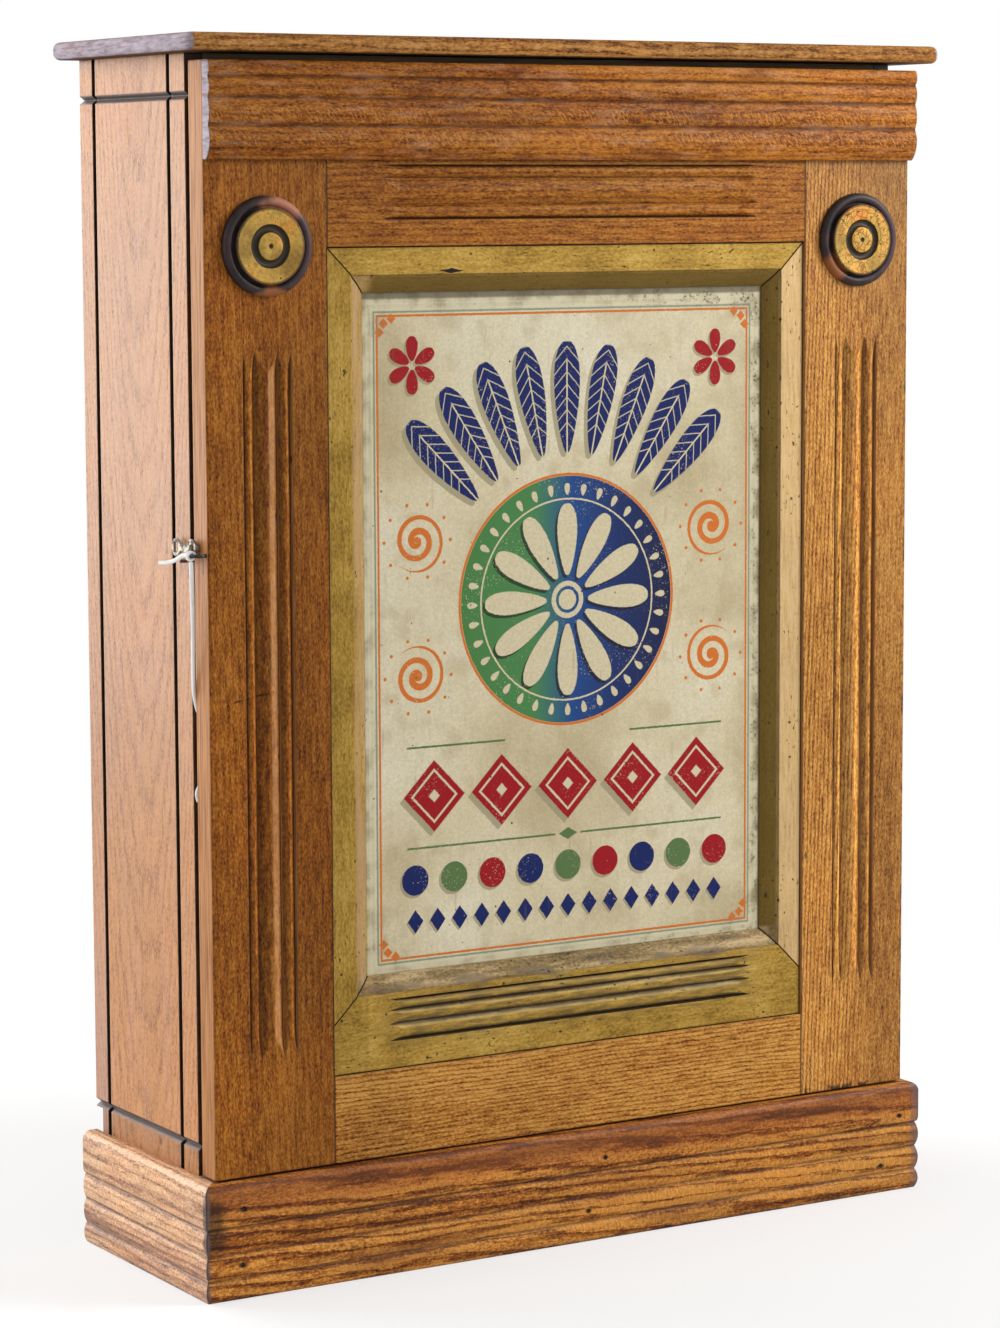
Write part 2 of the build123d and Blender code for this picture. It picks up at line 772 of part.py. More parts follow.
frame_members = {
    "gilt_frame_left": (
        frame_section(Plane((-frame_outer, 0, 0), (1, 0, 0), (0, 0, 1)), frame_width - frame_clearance),
        [frame_mitre(-sight_half, sight_head, (-1, -1)), frame_mitre(-sight_half, sight_foot, (-1, 1))],
    ),
    "gilt_frame_right": (
        frame_section(Plane((frame_outer, 0, 0), (-1, 0, 0), (0, 0, -1)), frame_width - frame_clearance),
        [frame_mitre(sight_half, sight_head, (1, -1)), frame_mitre(sight_half, sight_foot, (1, 1))],
    ),
    "gilt_frame_top": (
        frame_section(Plane((0, 0, frame_top), (0, 0, -1), (1, 0, 0)), frame_width - frame_clearance),
        [frame_mitre(-sight_half, sight_head, (1, 1)), frame_mitre(sight_half, sight_head, (-1, 1))],
    ),
    "gilt_frame_bottom": (
        frame_section(Plane((0, 0, frame_bottom), (0, 0, 1), (-1, 0, 0)), frame_foot_height - frame_clearance),
        [frame_mitre(-sight_half, sight_foot, (1, -1)), frame_mitre(sight_half, sight_foot, (-1, -1))],
    ),
}

sign_reed_level = opening_foot + sign_reed_foot + sum(sign_reed_widths) / 2
for name, (section, mitres) in frame_members.items():
    upright = name in ("gilt_frame_left", "gilt_frame_right")
    with BuildPart() as member:
        if upright:
            extrude(section, amount=case_height, both=True)
        else:
            extrude(section, amount=frame_outer, both=True)
        for mitre in mitres:
            split(bisect_by=mitre, keep=Keep.TOP)
        if name == "gilt_frame_bottom":
            with Locations(front_plane(0, frame_face, sign_reed_level, (-1, 0, 0)).location):
                add(sign_reeds, mode=Mode.SUBTRACT)
    write(member.part, name)

# Tin sign, the board behind it and the strips that hold both in the rabbet
sign_half = sight_half + sign_rabbet - sign_clearance
sign_foot = sight_foot - sign_rabbet + sign_clearance
sign_head = sight_head + sign_rabbet - sign_clearance
sign_back = lip_back + sign_thickness
strip_front = sign_back + sign_back_thickness

with BuildPart() as tin_panel:
    box_between((-sign_half, lip_back, sign_foot), (sign_half, sign_back, sign_head))
write(tin_panel.part, "tin_panel")

with BuildPart() as backing_board:
    box_between((-sign_half, sign_back, sign_foot), (sign_half, strip_front, sign_head))
write(backing_board.part, "backing_board")

with BuildPart() as backing_strips:
    for end in (-1, 1):
        near, far = sorted((end * sign_half, end * (sign_half - sign_strip_width)))
        box_between((near, strip_front, sign_foot), (far, frame_back, sign_head))
    inner_end = sign_half - sign_strip_width - joint_clearance
    box_between(
        (-inner_end, strip_front, sign_foot),
        (inner_end, frame_back, sign_foot + sign_strip_width),
    )
    box_between(
        (-inner_end, strip_front, sign_head - sign_strip_width),
        (inner_end, frame_back, sign_head),
    )
write(backing_strips.part, "backing_strips")

# Catch: a flat lever with a ring, turning on a screw in the door's edge
with BuildPart() as catch_washer:
    with BuildSketch(outward_plane(-case_half, catch_y, catch_height)):
        Circle(catch_spacer_radius)
        Circle(catch_screw_radius + running_clearance, mode=Mode.SUBTRACT)
    extrude(amount=catch_stand_off)
write(catch_washer.part, "catch_washer")

with BuildPart() as catch_lever:
    with BuildSketch(outward_plane(-catch_inner, catch_y, catch_height)) as lever_outline:
        Circle(catch_boss_radius)
        with Locations((catch_reach / 2, catch_ring_sag / 2)):
            Rectangle(catch_reach, catch_neck_width)
        with Locations((catch_reach, catch_ring_sag)):
            Circle(catch_ring_radius)
        neck_corners = lever_outline.vertices().filter_by(
            lambda v: catch_boss_radius / 2 < v.Y - catch_y < catch_reach
        )
        fillet(neck_corners, catch_neck_width / 2)
        Circle(catch_screw_radius + running_clearance, mode=Mode.SUBTRACT)
        with Locations((catch_reach, catch_ring_sag)):
            Circle(catch_ring_hole_radius, mode=Mode.SUBTRACT)
    extrude(amount=catch_thickness)
write(catch_lever.part, "catch_lever")

screw_seat = catch_outer + catch_play
with BuildPart() as catch_screw:
    with BuildSketch(outward_plane(-screw_seat, catch_y, catch_height)):
        Circle(catch_screw_head_radius)
    extrude(amount=catch_screw_head_height)
    fillet(catch_screw.faces().sort_by(Axis.X)[0].edges(), catch_screw_head_height / 2)
    with BuildSketch(outward_plane(-screw_seat, catch_y, catch_height)):
        Circle(catch_screw_radius)
    extrude(amount=case_half - catch_screw_depth - screw_seat)
    with BuildSketch(outward_plane(-screw_seat - catch_screw_head_height, catch_y, catch_height)):
        Rectangle(2 * catch_screw_head_radius, 0.7, rotation=35)
    extrude(amount=-0.6, mode=Mode.SUBTRACT)
write(catch_screw.part, "catch_screw")

with BuildPart() as keeper_pin:
    with BuildSketch(outward_plane(-case_half + keeper_depth, keeper_y, keeper_z)):
        Circle(keeper_radius)
    extrude(amount=keeper_depth + keeper_stand_off)
    fillet(keeper_pin.faces().sort_by(Axis.X)[0].edges(), keeper_radius / 2)
write(keeper_pin.part, "keeper_pin")

# Iron hook: wire let into the door's edge and bent towards the case
with BuildPart() as iron_hook:
    with BuildLine() as hook_path:
        FilletPolyline(
            (-case_half + hook_depth, hook_y, hook_z),
            (-hook_x, hook_y, hook_z),
            (-hook_x, hook_y + hook_reach, hook_z),
            radius=hook_bend_radius,
        )
    with BuildSketch(outward_plane(-case_half + hook_depth, hook_y, hook_z)):
        Circle(hook_wire_radius)
    sweep()
write(iron_hook.part, "iron_hook")

# Cotton string: a knot on the hook's tip, a long tail and a short end
with BuildPart() as string_knot:
    knot_plane = Plane(origin=(-hook_x, hook_y + hook_reach, hook_z), x_dir=(1, 0, 0), z_dir=(0, 1, 0))
    with BuildSketch(knot_plane):
        Circle(knot_radius)
        Circle(hook_wire_radius + running_clearance, mode=Mode.SUBTRACT)
    extrude(amount=-knot_length)
    round_edges = string_knot.edges().filter_by(GeomType.CIRCLE).sort_by(SortBy.RADIUS)[-2:]
    fillet(round_edges, knot_radius / 3)
write(string_knot.part, "string_knot")


def string_piece(route, name):
    """A round string along a route: straight runs joined by arcs as large as the runs allow."""
    points = [Vector(*point) for point in route]
    runs = [b - a for a, b in zip(points[:-1], points[1:])]
    turns = [math.radians(a.get_angle(b)) for a, b in zip(runs[:-1], runs[1:])]
    radii = [
        0.45 * min(a.length, b.length) / math.tan(turn / 2) for a, b, turn in zip(runs[:-1], runs[1:], turns)
    ]
    with BuildPart() as string:
        with BuildLine() as path:
            line = FilletPolyline(*route, radius=radii)
        with BuildSketch(Plane(origin=route[0], z_dir=runs[0])):
            Circle(string_diameter / 2)
        sweep()
    expected = math.pi * string_diameter**2 / 4 * line.length
    print(name, "radii", [round(r, 1) for r in radii], "length", round(line.length, 1))
    print(name, "volume", round(string.part.volume, 2), "section times length", round(expected, 2))
    return string.part


write(string_piece(tail_route, "string_tail"), "string_tail")
write(string_piece(short_end_route, "string_short_end"), "string_short_end")
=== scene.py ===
"""Looks for the counter-top dye cabinet: worn oak, aged gilt, a printed tin sign and cotton string.

Metres, in the same frame as the solids: X right, Y back, Z up, the origin on the floor under the middle.
Marks of wear and the sign's figures are placed in millimetres.
"""

import math

import bpy
import numpy as np
from mathutils import Matrix, Vector


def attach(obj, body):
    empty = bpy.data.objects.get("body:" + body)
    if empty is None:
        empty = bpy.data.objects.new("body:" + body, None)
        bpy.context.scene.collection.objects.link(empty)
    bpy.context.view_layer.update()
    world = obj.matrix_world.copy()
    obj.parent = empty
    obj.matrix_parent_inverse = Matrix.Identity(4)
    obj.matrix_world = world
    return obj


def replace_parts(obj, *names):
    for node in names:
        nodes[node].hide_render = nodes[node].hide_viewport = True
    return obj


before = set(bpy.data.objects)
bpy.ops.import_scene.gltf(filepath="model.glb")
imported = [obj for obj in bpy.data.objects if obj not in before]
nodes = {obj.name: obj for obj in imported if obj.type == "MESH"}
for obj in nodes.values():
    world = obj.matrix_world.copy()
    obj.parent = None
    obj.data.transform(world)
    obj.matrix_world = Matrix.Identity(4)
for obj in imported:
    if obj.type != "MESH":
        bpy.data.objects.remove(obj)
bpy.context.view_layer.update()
MM = 0.001


# Camera

LENS, SENSOR = 106.045, 36
CAMERA_PLACE = (-1.30903, -2.14558, 0.66352)
HEADING, TILT_DOWN, LEAN = -31.2608, 6.7984, -0.2342


def aim_camera():
    """Camera of the photograph: one that looks straight down is leaned, raised, and turned to its heading."""
    data = bpy.data.cameras.new("view_camera")
    data.lens = LENS
    data.sensor_width = SENSOR
    camera = bpy.data.objects.new("view_camera", data)
    bpy.context.scene.collection.objects.link(camera)
    heading = Matrix.Rotation(math.radians(HEADING), 4, "Z")
    pitch = Matrix.Rotation(math.radians(90 - TILT_DOWN), 4, "X")
    roll = Matrix.Rotation(math.radians(LEAN), 4, "Z")
    camera.matrix_world = Matrix.Translation(CAMERA_PLACE) @ heading @ pitch @ roll
    bpy.context.scene.camera = camera


aim_camera()


# String

STRING_ACROSS = 2.4 * MM
KNOT_START = (-0.266, -0.0755, 0.4532)
tail_route = [
    (-0.2658, -0.0744, 0.4498), (-0.2652, -0.0739, 0.4340), (-0.2639, -0.0720, 0.4140),
    (-0.2616, -0.0672, 0.3900), (-0.2588, -0.0614, 0.3650), (-0.2520, -0.0606, 0.3490),
    (-0.2512, -0.0606, 0.3270), (-0.2548, -0.0606, 0.3130), (-0.2580, -0.0606, 0.3080),
    (-0.2560, -0.0607, 0.3030),
]
short_end_route = [
    (-0.2666, -0.0724, 0.4536), (-0.2666, -0.0664, 0.4536), (-0.2673, -0.0566, 0.4492),
    (-0.2681, -0.0466, 0.4470), (-0.2686, -0.0380, 0.4466),
]


def smooth_line(name, route):
    """The line of a NURBS spline that has the route's points as its control points."""
    data = bpy.data.curves.new(name, "CURVE")
    data.dimensions = "3D"
    spline = data.splines.new("NURBS")
    spline.points.add(len(route) - 1)
    spline.points.foreach_set("co", np.c_[np.array(route), np.ones(len(route))].ravel())
    spline.order_u = 3
    spline.use_endpoint_u = True
    spline.resolution_u = 24
    guide = bpy.data.objects.new(name, data)
    mesh = bpy.data.meshes.new_from_object(guide)
    line = np.zeros(len(mesh.vertices) * 3)
    mesh.vertices.foreach_get("co", line)
    bpy.data.objects.remove(guide)
    bpy.data.meshes.remove(mesh)
    bpy.data.curves.remove(data)
    return line.reshape(-1, 3)


def evenly(line, gap):
    """Points a gap apart on a line, and their distances along it."""
    along = np.r_[0, np.cumsum(np.linalg.norm(np.diff(line, axis=0), axis=1))]
    where = np.linspace(0, along[-1], max(8, int(along[-1] / gap)))
    return np.stack([np.interp(where, along, line[:, i]) for i in range(3)], axis=1), where


def frames(line, side):
    """Two directions across a line at each point: the side, made square to the line, and their cross."""
    ahead = np.gradient(line, axis=0)
    ahead /= np.linalg.norm(ahead, axis=1, keepdims=True)
    side = np.array(side, dtype=float)
    first = side - ahead * (ahead @ side)[:, None]
    first /= np.linalg.norm(first, axis=1, keepdims=True)
    return first, np.cross(ahead, first)


def tube_faces(count, ring, first):
    """Faces of a tube of count rings, each of ring points: quads along it and one flat face at each end."""
    row = np.arange(count - 1)[:, None] * ring
    column = np.arange(ring)[None, :]
    turn = (column + 1) % ring
    quads = np.stack([row + column, row + turn, row + ring + turn, row + ring + column], axis=-1)
    start, end = np.arange(ring)[::-1], np.arange(ring) + (count - 1) * ring
    return (quads.reshape(-1, 4) + first).tolist() + [(start + first).tolist(), (end + first).tolist()]


def tube(line, radius, side, ring=10):
    """A round tube: at each point of the line, a circle of that point's radius, square to the line."""
    first, second = frames(line, side)
    turn = np.linspace(0, 2 * np.pi, ring, endpoint=False)[None, :, None]
    circle = np.cos(turn) * first[:, None] + np.sin(turn) * second[:, None]
    return line[:, None] + circle * radius[:, None, None]


def pointed(to_end, length):
    """A pointed tube's share of its radius: the root of the distance to its end over a length."""
    return np.sqrt(np.clip(to_end / length, 0.0004, 1))


def strands(line, distance, side, taper, pitch=4.2 * MM, count=3):
    """Twisted strands: strand k runs on a helix round the line, a third of a turn after the strand before it.

    Each strand draws to a point over its last half millimetre, and the bundle narrows by taper.
    """
    first, second = frames(line, side)
    narrow = 1 - taper * distance / distance[-1]
    lay, own = STRING_ACROSS * 0.27 * narrow, STRING_ACROSS * 0.34 * narrow
    own = own * pointed(np.minimum(distance, distance[-1] - distance), 0.5 * MM)
    tubes = []
    for k in range(count):
        turn = 2 * np.pi * (distance / pitch + k / count)
        core = line + lay[:, None] * (np.cos(turn)[:, None] * first + np.sin(turn)[:, None] * second)
        tubes.append(tube(core, own, side))
    return tubes


def knot_turns():
    """The knot: a coil round the hook's arm, whose radius swells five times, and an arc across it."""
    turns, turned_before, length = 2.6, 0.1, 2.2 * MM
    t = np.linspace(0, 1, 170)
    turn = 2 * np.pi * (turns * t + turned_before)
    coil_radius = (2.15 + 0.16 * np.sin(5 * turn / turns)) * MM
    coil = np.stack([coil_radius * np.sin(turn), length * t, coil_radius * np.cos(turn)], axis=1)
    s = np.linspace(-1, 1, 60)
    stand_off = (2.2 + 0.35 * np.cos(s * 3)) * MM
    swing = s * 1.1
    slant, rise = 1.0 * MM, 2.5 * MM
    arc = np.stack([-stand_off * np.cos(swing), length / 2 + slant * s, rise * np.sin(swing)], axis=1)
    yarn_radius, point_steps = 0.95 * MM, 4
    tubes = []
    for line in (coil, arc):
        step = np.arange(len(line))
        radius = yarn_radius * pointed(np.minimum(step, step[::-1]), point_steps)
        tubes.append(tube(line + KNOT_START, radius, (0, 1, 0)))
    return tubes


def mesh_piece(name, tubes, material, body):
    """A smooth mesh of tubes, each an array of rings of points."""
    points, faces, start = [], [], 0
    for rings in tubes:
        points.append(rings.reshape(-1, 3))
        faces += tube_faces(*rings.shape[:2], start)
        start += len(points[-1])
    mesh = bpy.data.meshes.new(name)
    mesh.from_pydata(np.concatenate(points).tolist(), [], faces)
    mesh.polygons.foreach_set("use_smooth", np.ones(len(mesh.polygons), dtype=bool))
    mesh.update()
    piece = bpy.data.objects.new(name, mesh)
    bpy.context.scene.collection.objects.link(piece)
    mesh.materials.append(material)
    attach(piece, body)
    return piece


# Shader formulas

class Value:
    """A socket of a shader node that works in formulas: each operator adds the Math node it needs."""

    def __init__(self, graph, socket):
        self.graph = graph
        self.socket = socket

    def math(self, operation, *others):
        return self.graph.add("Math", {"operation": operation}, dict(enumerate((self, *others))))

    def __add__(self, other):
        return self.math("ADD", other)

    def __sub__(self, other):
        return self.math("SUBTRACT", other)

    def __mul__(self, other):
        return self.math("MULTIPLY", other)

    def __truediv__(self, other):
        return self.math("DIVIDE", other)

    def __rsub__(self, other):
        return self.graph.add("Math", {"operation": "SUBTRACT"}, {0: other, 1: self})

    __radd__ = __add__
    __rmul__ = __mul__

    def abs(self):
        return self.math("ABSOLUTE")

    def floor(self):
        return self.math("FLOOR")

    def frac(self):
        return self.math("FRACT")

    def sin(self):
        return self.math("SINE")

    def sqrt(self):
        return self.math("SQRT")

    def least(self, other):
        return self.math("MINIMUM", other)

    def most(self, other):
        return self.math("MAXIMUM", other)

    def angle(self, other):
        """The direction of the point (other, self), in radians."""
        return self.math("ARCTAN2", other)

    def step(self, low, high):
        """0 below low and 1 above high, with a smooth rise between; it falls where low is above high."""
        settings = {"interpolation_type": "SMOOTHSTEP"}
        if low <= high:
            return self.graph.add("MapRange", settings, {"Value": self, "From Min": low, "From Max": high})
        ends = {"Value": self, "From Min": high, "From Max": low, "To Min": 1.0, "To Max": 0.0}
        return self.graph.add("MapRange", settings, ends)

    def near(self, centre, half, soft):
        """1 within half of a centre, with soft edges of that width."""
        return (self - centre).abs().step(half + soft, half)

    def bands(self, first, *others):
        """1 in any of some bands, each given by its centre, its half width and its soft edge."""
        found = self.near(*first)
        for band in others:
            found = found.most(self.near(*band))
        return found

    def in_cell(self, size):
        """How far the value is from the nearest multiple of a size."""
        return ((self / size + 0.5).frac() - 0.5) * size


class Graph:
    """The node tree of one material, ended by one Principled shader, or the tree of the world."""

    def __init__(self, name, world=None):
        self.owner = world or bpy.data.materials.new(name)
        self.owner.use_nodes = True
        self.tree = self.owner.node_tree
        self.tree.nodes.clear()
        if not world:
            self.place = self.add("TexCoord", output="Object")
            self.x, self.y, self.z = self.split(self.place)

    def add(self, kind, settings=None, inputs=None, output=0):
        """Adds any node: its settings first, then the values or links of its sockets."""
        node = self.tree.nodes.new("ShaderNode" + kind)
        for key, value in (settings or {}).items():
            if key == "stops":
                ramp = node.color_ramp.elements
                while len(ramp) < len(value):
                    ramp.new(1.0)
                for element, (position, colour) in zip(ramp, value):
                    element.position = position
                    element.color = (*colour, 1)
            else:
                setattr(node, key, value)
        for key, value in (inputs or {}).items():
            if isinstance(value, Value):
                self.tree.links.new(value.socket, node.inputs[key])
            elif isinstance(value, tuple) and node.inputs[key].type == "RGBA":
                node.inputs[key].default_value = (*value, 1)
            else:
                node.inputs[key].default_value = value
        return Value(self, node.outputs[output]) if len(node.outputs) else None

    def split(self, vector):
        """The three parts of a vector or of a colour."""
        node = self.add("SeparateXYZ", None, {0: vector}).socket.node
        return [Value(self, socket) for socket in node.outputs]

    def millimetres(self):
        """The three coordinates in millimetres."""
        return self.x * 1000, self.y * 1000, self.z * 1000

    def point(self, x, y, z):
        return self.add("CombineXYZ", None, {0: x, 1: y, 2: z})

    def mix(self, factor, first, second, blend="MIX"):
        """Between two colours, by a factor."""
        settings = {"data_type": "RGBA", "blend_type": blend}
        return self.add("Mix", settings, {0: factor, 6: first, 7: second}, output=2)

    def shade(self, colour, amount):
        """A colour made darker or lighter: it is multiplied by a number."""
        return self.add("VectorMath", {"operation": "SCALE"}, {0: colour, "Scale": amount})

    def ramp(self, factor, *stops):
        return self.add("ValToRGB", {"stops": stops}, {0: factor})

    def noise(self, vector, scale=1.0, detail=2.0, roughness=0.5, twist=0.0):
        inputs = {"Vector": vector, "Scale": scale, "Detail": detail, "Roughness": roughness,
                  "Distortion": twist}
        return self.add("TexNoise", None, inputs)

    def cells(self, vector, scale=1.0, feature="F1", output="Distance"):
        return self.add("TexVoronoi", {"feature": feature}, {"Vector": vector, "Scale": scale}, output)

    def specks(self, scale, size, share, stretch=(1, 1, 1)):
        """Round specks, one in each cell of a random net, in that share of the cells; size is in cells."""
        place = self.point(self.x * stretch[0], self.y * stretch[1], self.z * stretch[2])
        pick = self.split(self.cells(place, scale, output="Color"))[0]
        return self.cells(place, scale).step(size, size * 0.6) * pick.step(1 - share, 1.001 - share)

    def corner(self, radius):
        """The normal with rounded corners, and how near a point lies to an outer corner, from 0 to 1."""
        rounded = self.add("Bevel", {"samples": 4}, {"Radius": radius})
        flat = self.add("NewGeometry", output="True Normal")
        turn = self.add("VectorMath", {"operation": "DOT_PRODUCT"}, {0: rounded, 1: flat}, "Value")
        return rounded, 1 - turn

    def hollow(self, distance):
        """How closed in a point is by its own piece, from 0 in the open to 1 in a deep groove."""
        settings = {"samples": 4, "only_local": True}
        return 1 - self.add("AmbientOcclusion", settings, {"Distance": distance}, "AO")

    def facing(self):
        """The three parts of a face's direction in its piece's frame, so that they turn with the door."""
        settings = {"vector_type": "NORMAL", "convert_from": "WORLD", "convert_to": "OBJECT"}
        normal = self.add("NewGeometry", output="True Normal")
        return self.split(self.add("VectorTransform", settings, {0: normal}))

    def bump(self, height, distance, strength=1.0, normal=None):
        inputs = {"Height": height, "Distance": distance, "Strength": strength}
        if normal is not None:
            inputs["Normal"] = normal
        return self.add("Bump", None, inputs)

    def finish(self, **inputs):
        """Ends the tree in a Principled shader with these sockets; underlines stand for spaces."""
        named = {key.replace("_", " "): value for key, value in inputs.items()}
        self.add("OutputMaterial", None, {"Surface": self.add("BsdfPrincipled", None, named)})
        return self.owner


def dress(material, *names):
    """Gives a material to pieces of the frame, by node name."""
    for name in names:
        for slot in nodes[name].material_slots:
            slot.material = material


# Places on the cabinet, in millimetres

def box(name):
    """The lowest and the highest corner of a piece of the frame."""
    corners = np.array([tuple(corner) for corner in nodes[name].bound_box]) / MM
    return corners.min(axis=0).round(3).tolist(), corners.max(axis=0).round(3).tolist()


_, side_high = box("case_side_right")
stile_low, stile_high = box("door_stile_right")
rosette_low, rosette_high = box("rosette_right")
gilt_low, gilt_high = box("gilt_frame_bottom")
_, sight_high = box("gilt_frame_top")
plinth_low, plinth_high = box("base_front_moulding")

CASE_HALF, CASE_TOP = side_high[0], side_high[2]
RAIL_END, DOOR_HEAD = stile_low[0], stile_high[2]
ROSETTE_ACROSS = (rosette_low[0] + rosette_high[0]) / 2
ROSETTE_UP = (rosette_low[2] + rosette_high[2]) / 2
GILT_HALF, GILT_FOOT, GILT_HEAD = gilt_high[0], gilt_low[2], sight_high[2]
SIGHT_HALF, SIGHT_FOOT = box("gilt_frame_right")[0][0], gilt_high[2]
PLINTH_HALF, PLINTH_FRONT = plinth_high[0], plinth_low[1]
BOARD_JOINT = (box("back_board_2")[1][0] + box("back_board_3")[0][0]) / 2

SAW_CUTS = (65.7, -36.6)
V_GROOVES = (724.3, 90.4)
REED_MIDDLE, REED_HALF, REED_SPREAD = 359, 212, 20
FRIEZE_VALLEYS = (735, 722.6, 706.5)
PLINTH_VALLEYS = (13, 28.6, 45)
NAILS = ((-242.4, 56.0), (-243.8, 21.5), (17.8, 53.5), (4.9, 20.2), (252.1, 51.0), (236.7, 18.5))
SIGN_MIDDLE = 412


# Wood: each set of tones runs from the dark of the rings through the middle to the light

BLACK, SOOT_AND_SHADE, DEEP_BROWN = (0.012, 0.007, 0.005), (0.018, 0.008, 0.004), (0.060, 0.018, 0.005)
FRONT = ((0.070, 0.016, 0.002), (0.230, 0.072, 0.008), (0.400, 0.160, 0.024))
WARM = ((0.080, 0.018, 0.002), (0.275, 0.088, 0.010), (0.460, 0.195, 0.030))
GOLD = ((0.125, 0.033, 0.004), (0.405, 0.162, 0.026), (0.640, 0.330, 0.078))
SIDE = ((0.240, 0.090, 0.028), (0.420, 0.182, 0.062), (0.500, 0.240, 0.095))
FRIEZE = ((0.075, 0.016, 0.002), (0.262, 0.080, 0.008), (0.450, 0.175, 0.026))
FOOT = ((0.080, 0.019, 0.004), (0.315, 0.102, 0.014), (0.640, 0.285, 0.056))
FOOT_SIDE = ((0.220, 0.110, 0.080), (0.500, 0.265, 0.140), (0.680, 0.430, 0.250))
SLAB = ((0.095, 0.028, 0.006), (0.315, 0.130, 0.028), (0.500, 0.250, 0.075))
END_GREY_AND_SHEEN = ((0.215, 0.165, 0.180), (0.340, 0.285, 0.330), (0.42, 0.365, 0.430))


def oak(name, along, heart, spacing, tones, ring=0.5, pores=0.6, streak=0.5, wild=0.8, sway=0.010,
        tilt=(0.0, 0.0), wear=0.5, grime=0.75, gloss=0.40, shine=0.28, calm=None, reach=1.0, marks=None):
    """Oak sawn from a log: rings are circles round a heart line that runs roughly along the board.

    The distance to the heart, bent by slow and fine noises and divided by the ring spacing, gives the rings,
    whose edges are feathered by the fibres. Dark pores are short thin dashes along the grain, thickest in the
    early part of each ring. Corners are worn bare, hollows are darkened as grime and as painted shade, and
    dust dulls what lies level. calm is two places across the board, between which the rings fade out; reach
    makes the streaks longer. marks takes the graph and the colour, and paints on what only this board has.
    """
    g = Graph(name)
    u, v, w = {"X": (g.x, g.y, g.z), "Y": (g.y, g.z, g.x), "Z": (g.z, g.x, g.y)}[along]
    slow = g.noise(g.point(u * 2.2, v * 8, w * 8), detail=3) - 0.5
    slow_too = g.noise(g.point(u * 2.2 + 7.3, v * 8, w * 8), detail=3) - 0.5
    across = v - heart[0] + u * tilt[0] + slow * sway
    depth = w - heart[1] + u * tilt[1] + slow_too * sway
    radius = (across * across + depth * depth).sqrt()
    wobble = g.noise(g.point(u * 9 / reach, v * 55, w * 55), detail=3)
    fibre = g.noise(g.point(u * 40, v * 520, w * 520), detail=3, roughness=0.6)
    broad = g.noise(g.point(u * 3.5 / reach, v * 34, w * 34), detail=3)
    mottle = g.noise(g.point(u * 90 / reach, v * 300, w * 300), detail=3)
    grain = g.noise(g.point(u * 420, v * 900, w * 900), detail=2)
    phase = (radius / spacing + wobble * wild * 2 + (mottle - 0.5) * 0.8 + (fibre - 0.5) * 0.45).frac()
    early = phase.step(0.5, 0.0).most(phase.step(0.85, 1.0)) * (0.35 + broad)
    speck = g.noise(g.point(u * 300, v * 1000, w * 1000), detail=2)
    pore = speck.step(0.54, 0.70) * (early * 0.8 + 0.35).least(1.0)
    rings = (0.42 - early) * ring
    if calm:
        rings = rings * (v.step(calm[1], calm[0]) * 0.75 + 0.25)
    tone = (0.5 + rings + (broad - 0.5) * streak * 1.8 + (fibre - 0.5) * 0.7 + (mottle - 0.5) * 1.0
            + (grain - 0.5) * 1.6)
    dark, middle, light = tones
    colour = g.ramp(tone, (0.0, dark), (0.5, middle), (1.0, light))
    blotch = g.noise(g.place, scale=9, detail=5)
    colour = g.shade(colour, 0.76 + blotch * 0.48)
    amber = (1.0, 0.86, 0.66)
    colour = g.mix(blotch.step(0.50, 0.66) * 0.35, colour, amber, "MULTIPLY")
    colour = g.shade(colour, 1 - pore * pores)
    rounded, edge = g.corner(1.4 * MM)
    rub = g.noise(g.place, scale=110, detail=4)
    grime_and_shade = g.hollow(7 * MM)
    bare = (edge * 3.0 + rub * 0.9).step(0.75, 1.15) * wear * grime_and_shade.step(0.30, 0.08)
    worn = (0.20, 0.13, 0.115)
    colour = g.mix(bare, colour, worn)
    # Darker in the hollows, by how closed in they are: grime, and painted shade.
    colour = g.mix((grime_and_shade * 1.3 + (rub - 0.5) * 0.3).step(0.18, 0.9) * grime, colour, SOOT_AND_SHADE)
    if marks:
        colour = marks(g, colour, rub)
    dust = g.facing()[2].step(0.80, 0.97)
    rough = gloss + pore * 0.2 + bare * 0.2 + (fibre - 0.5) * 0.12 + (blotch - 0.5) * 0.15 + dust * 0.40
    height = fibre * 0.3 - pore * 0.9 - early * 0.2
    normal = g.bump(height, 0.3 * MM, 0.5, rounded)
    return g.finish(Base_Color=colour, Roughness=rough, Specular_IOR_Level=shine, Normal=normal)


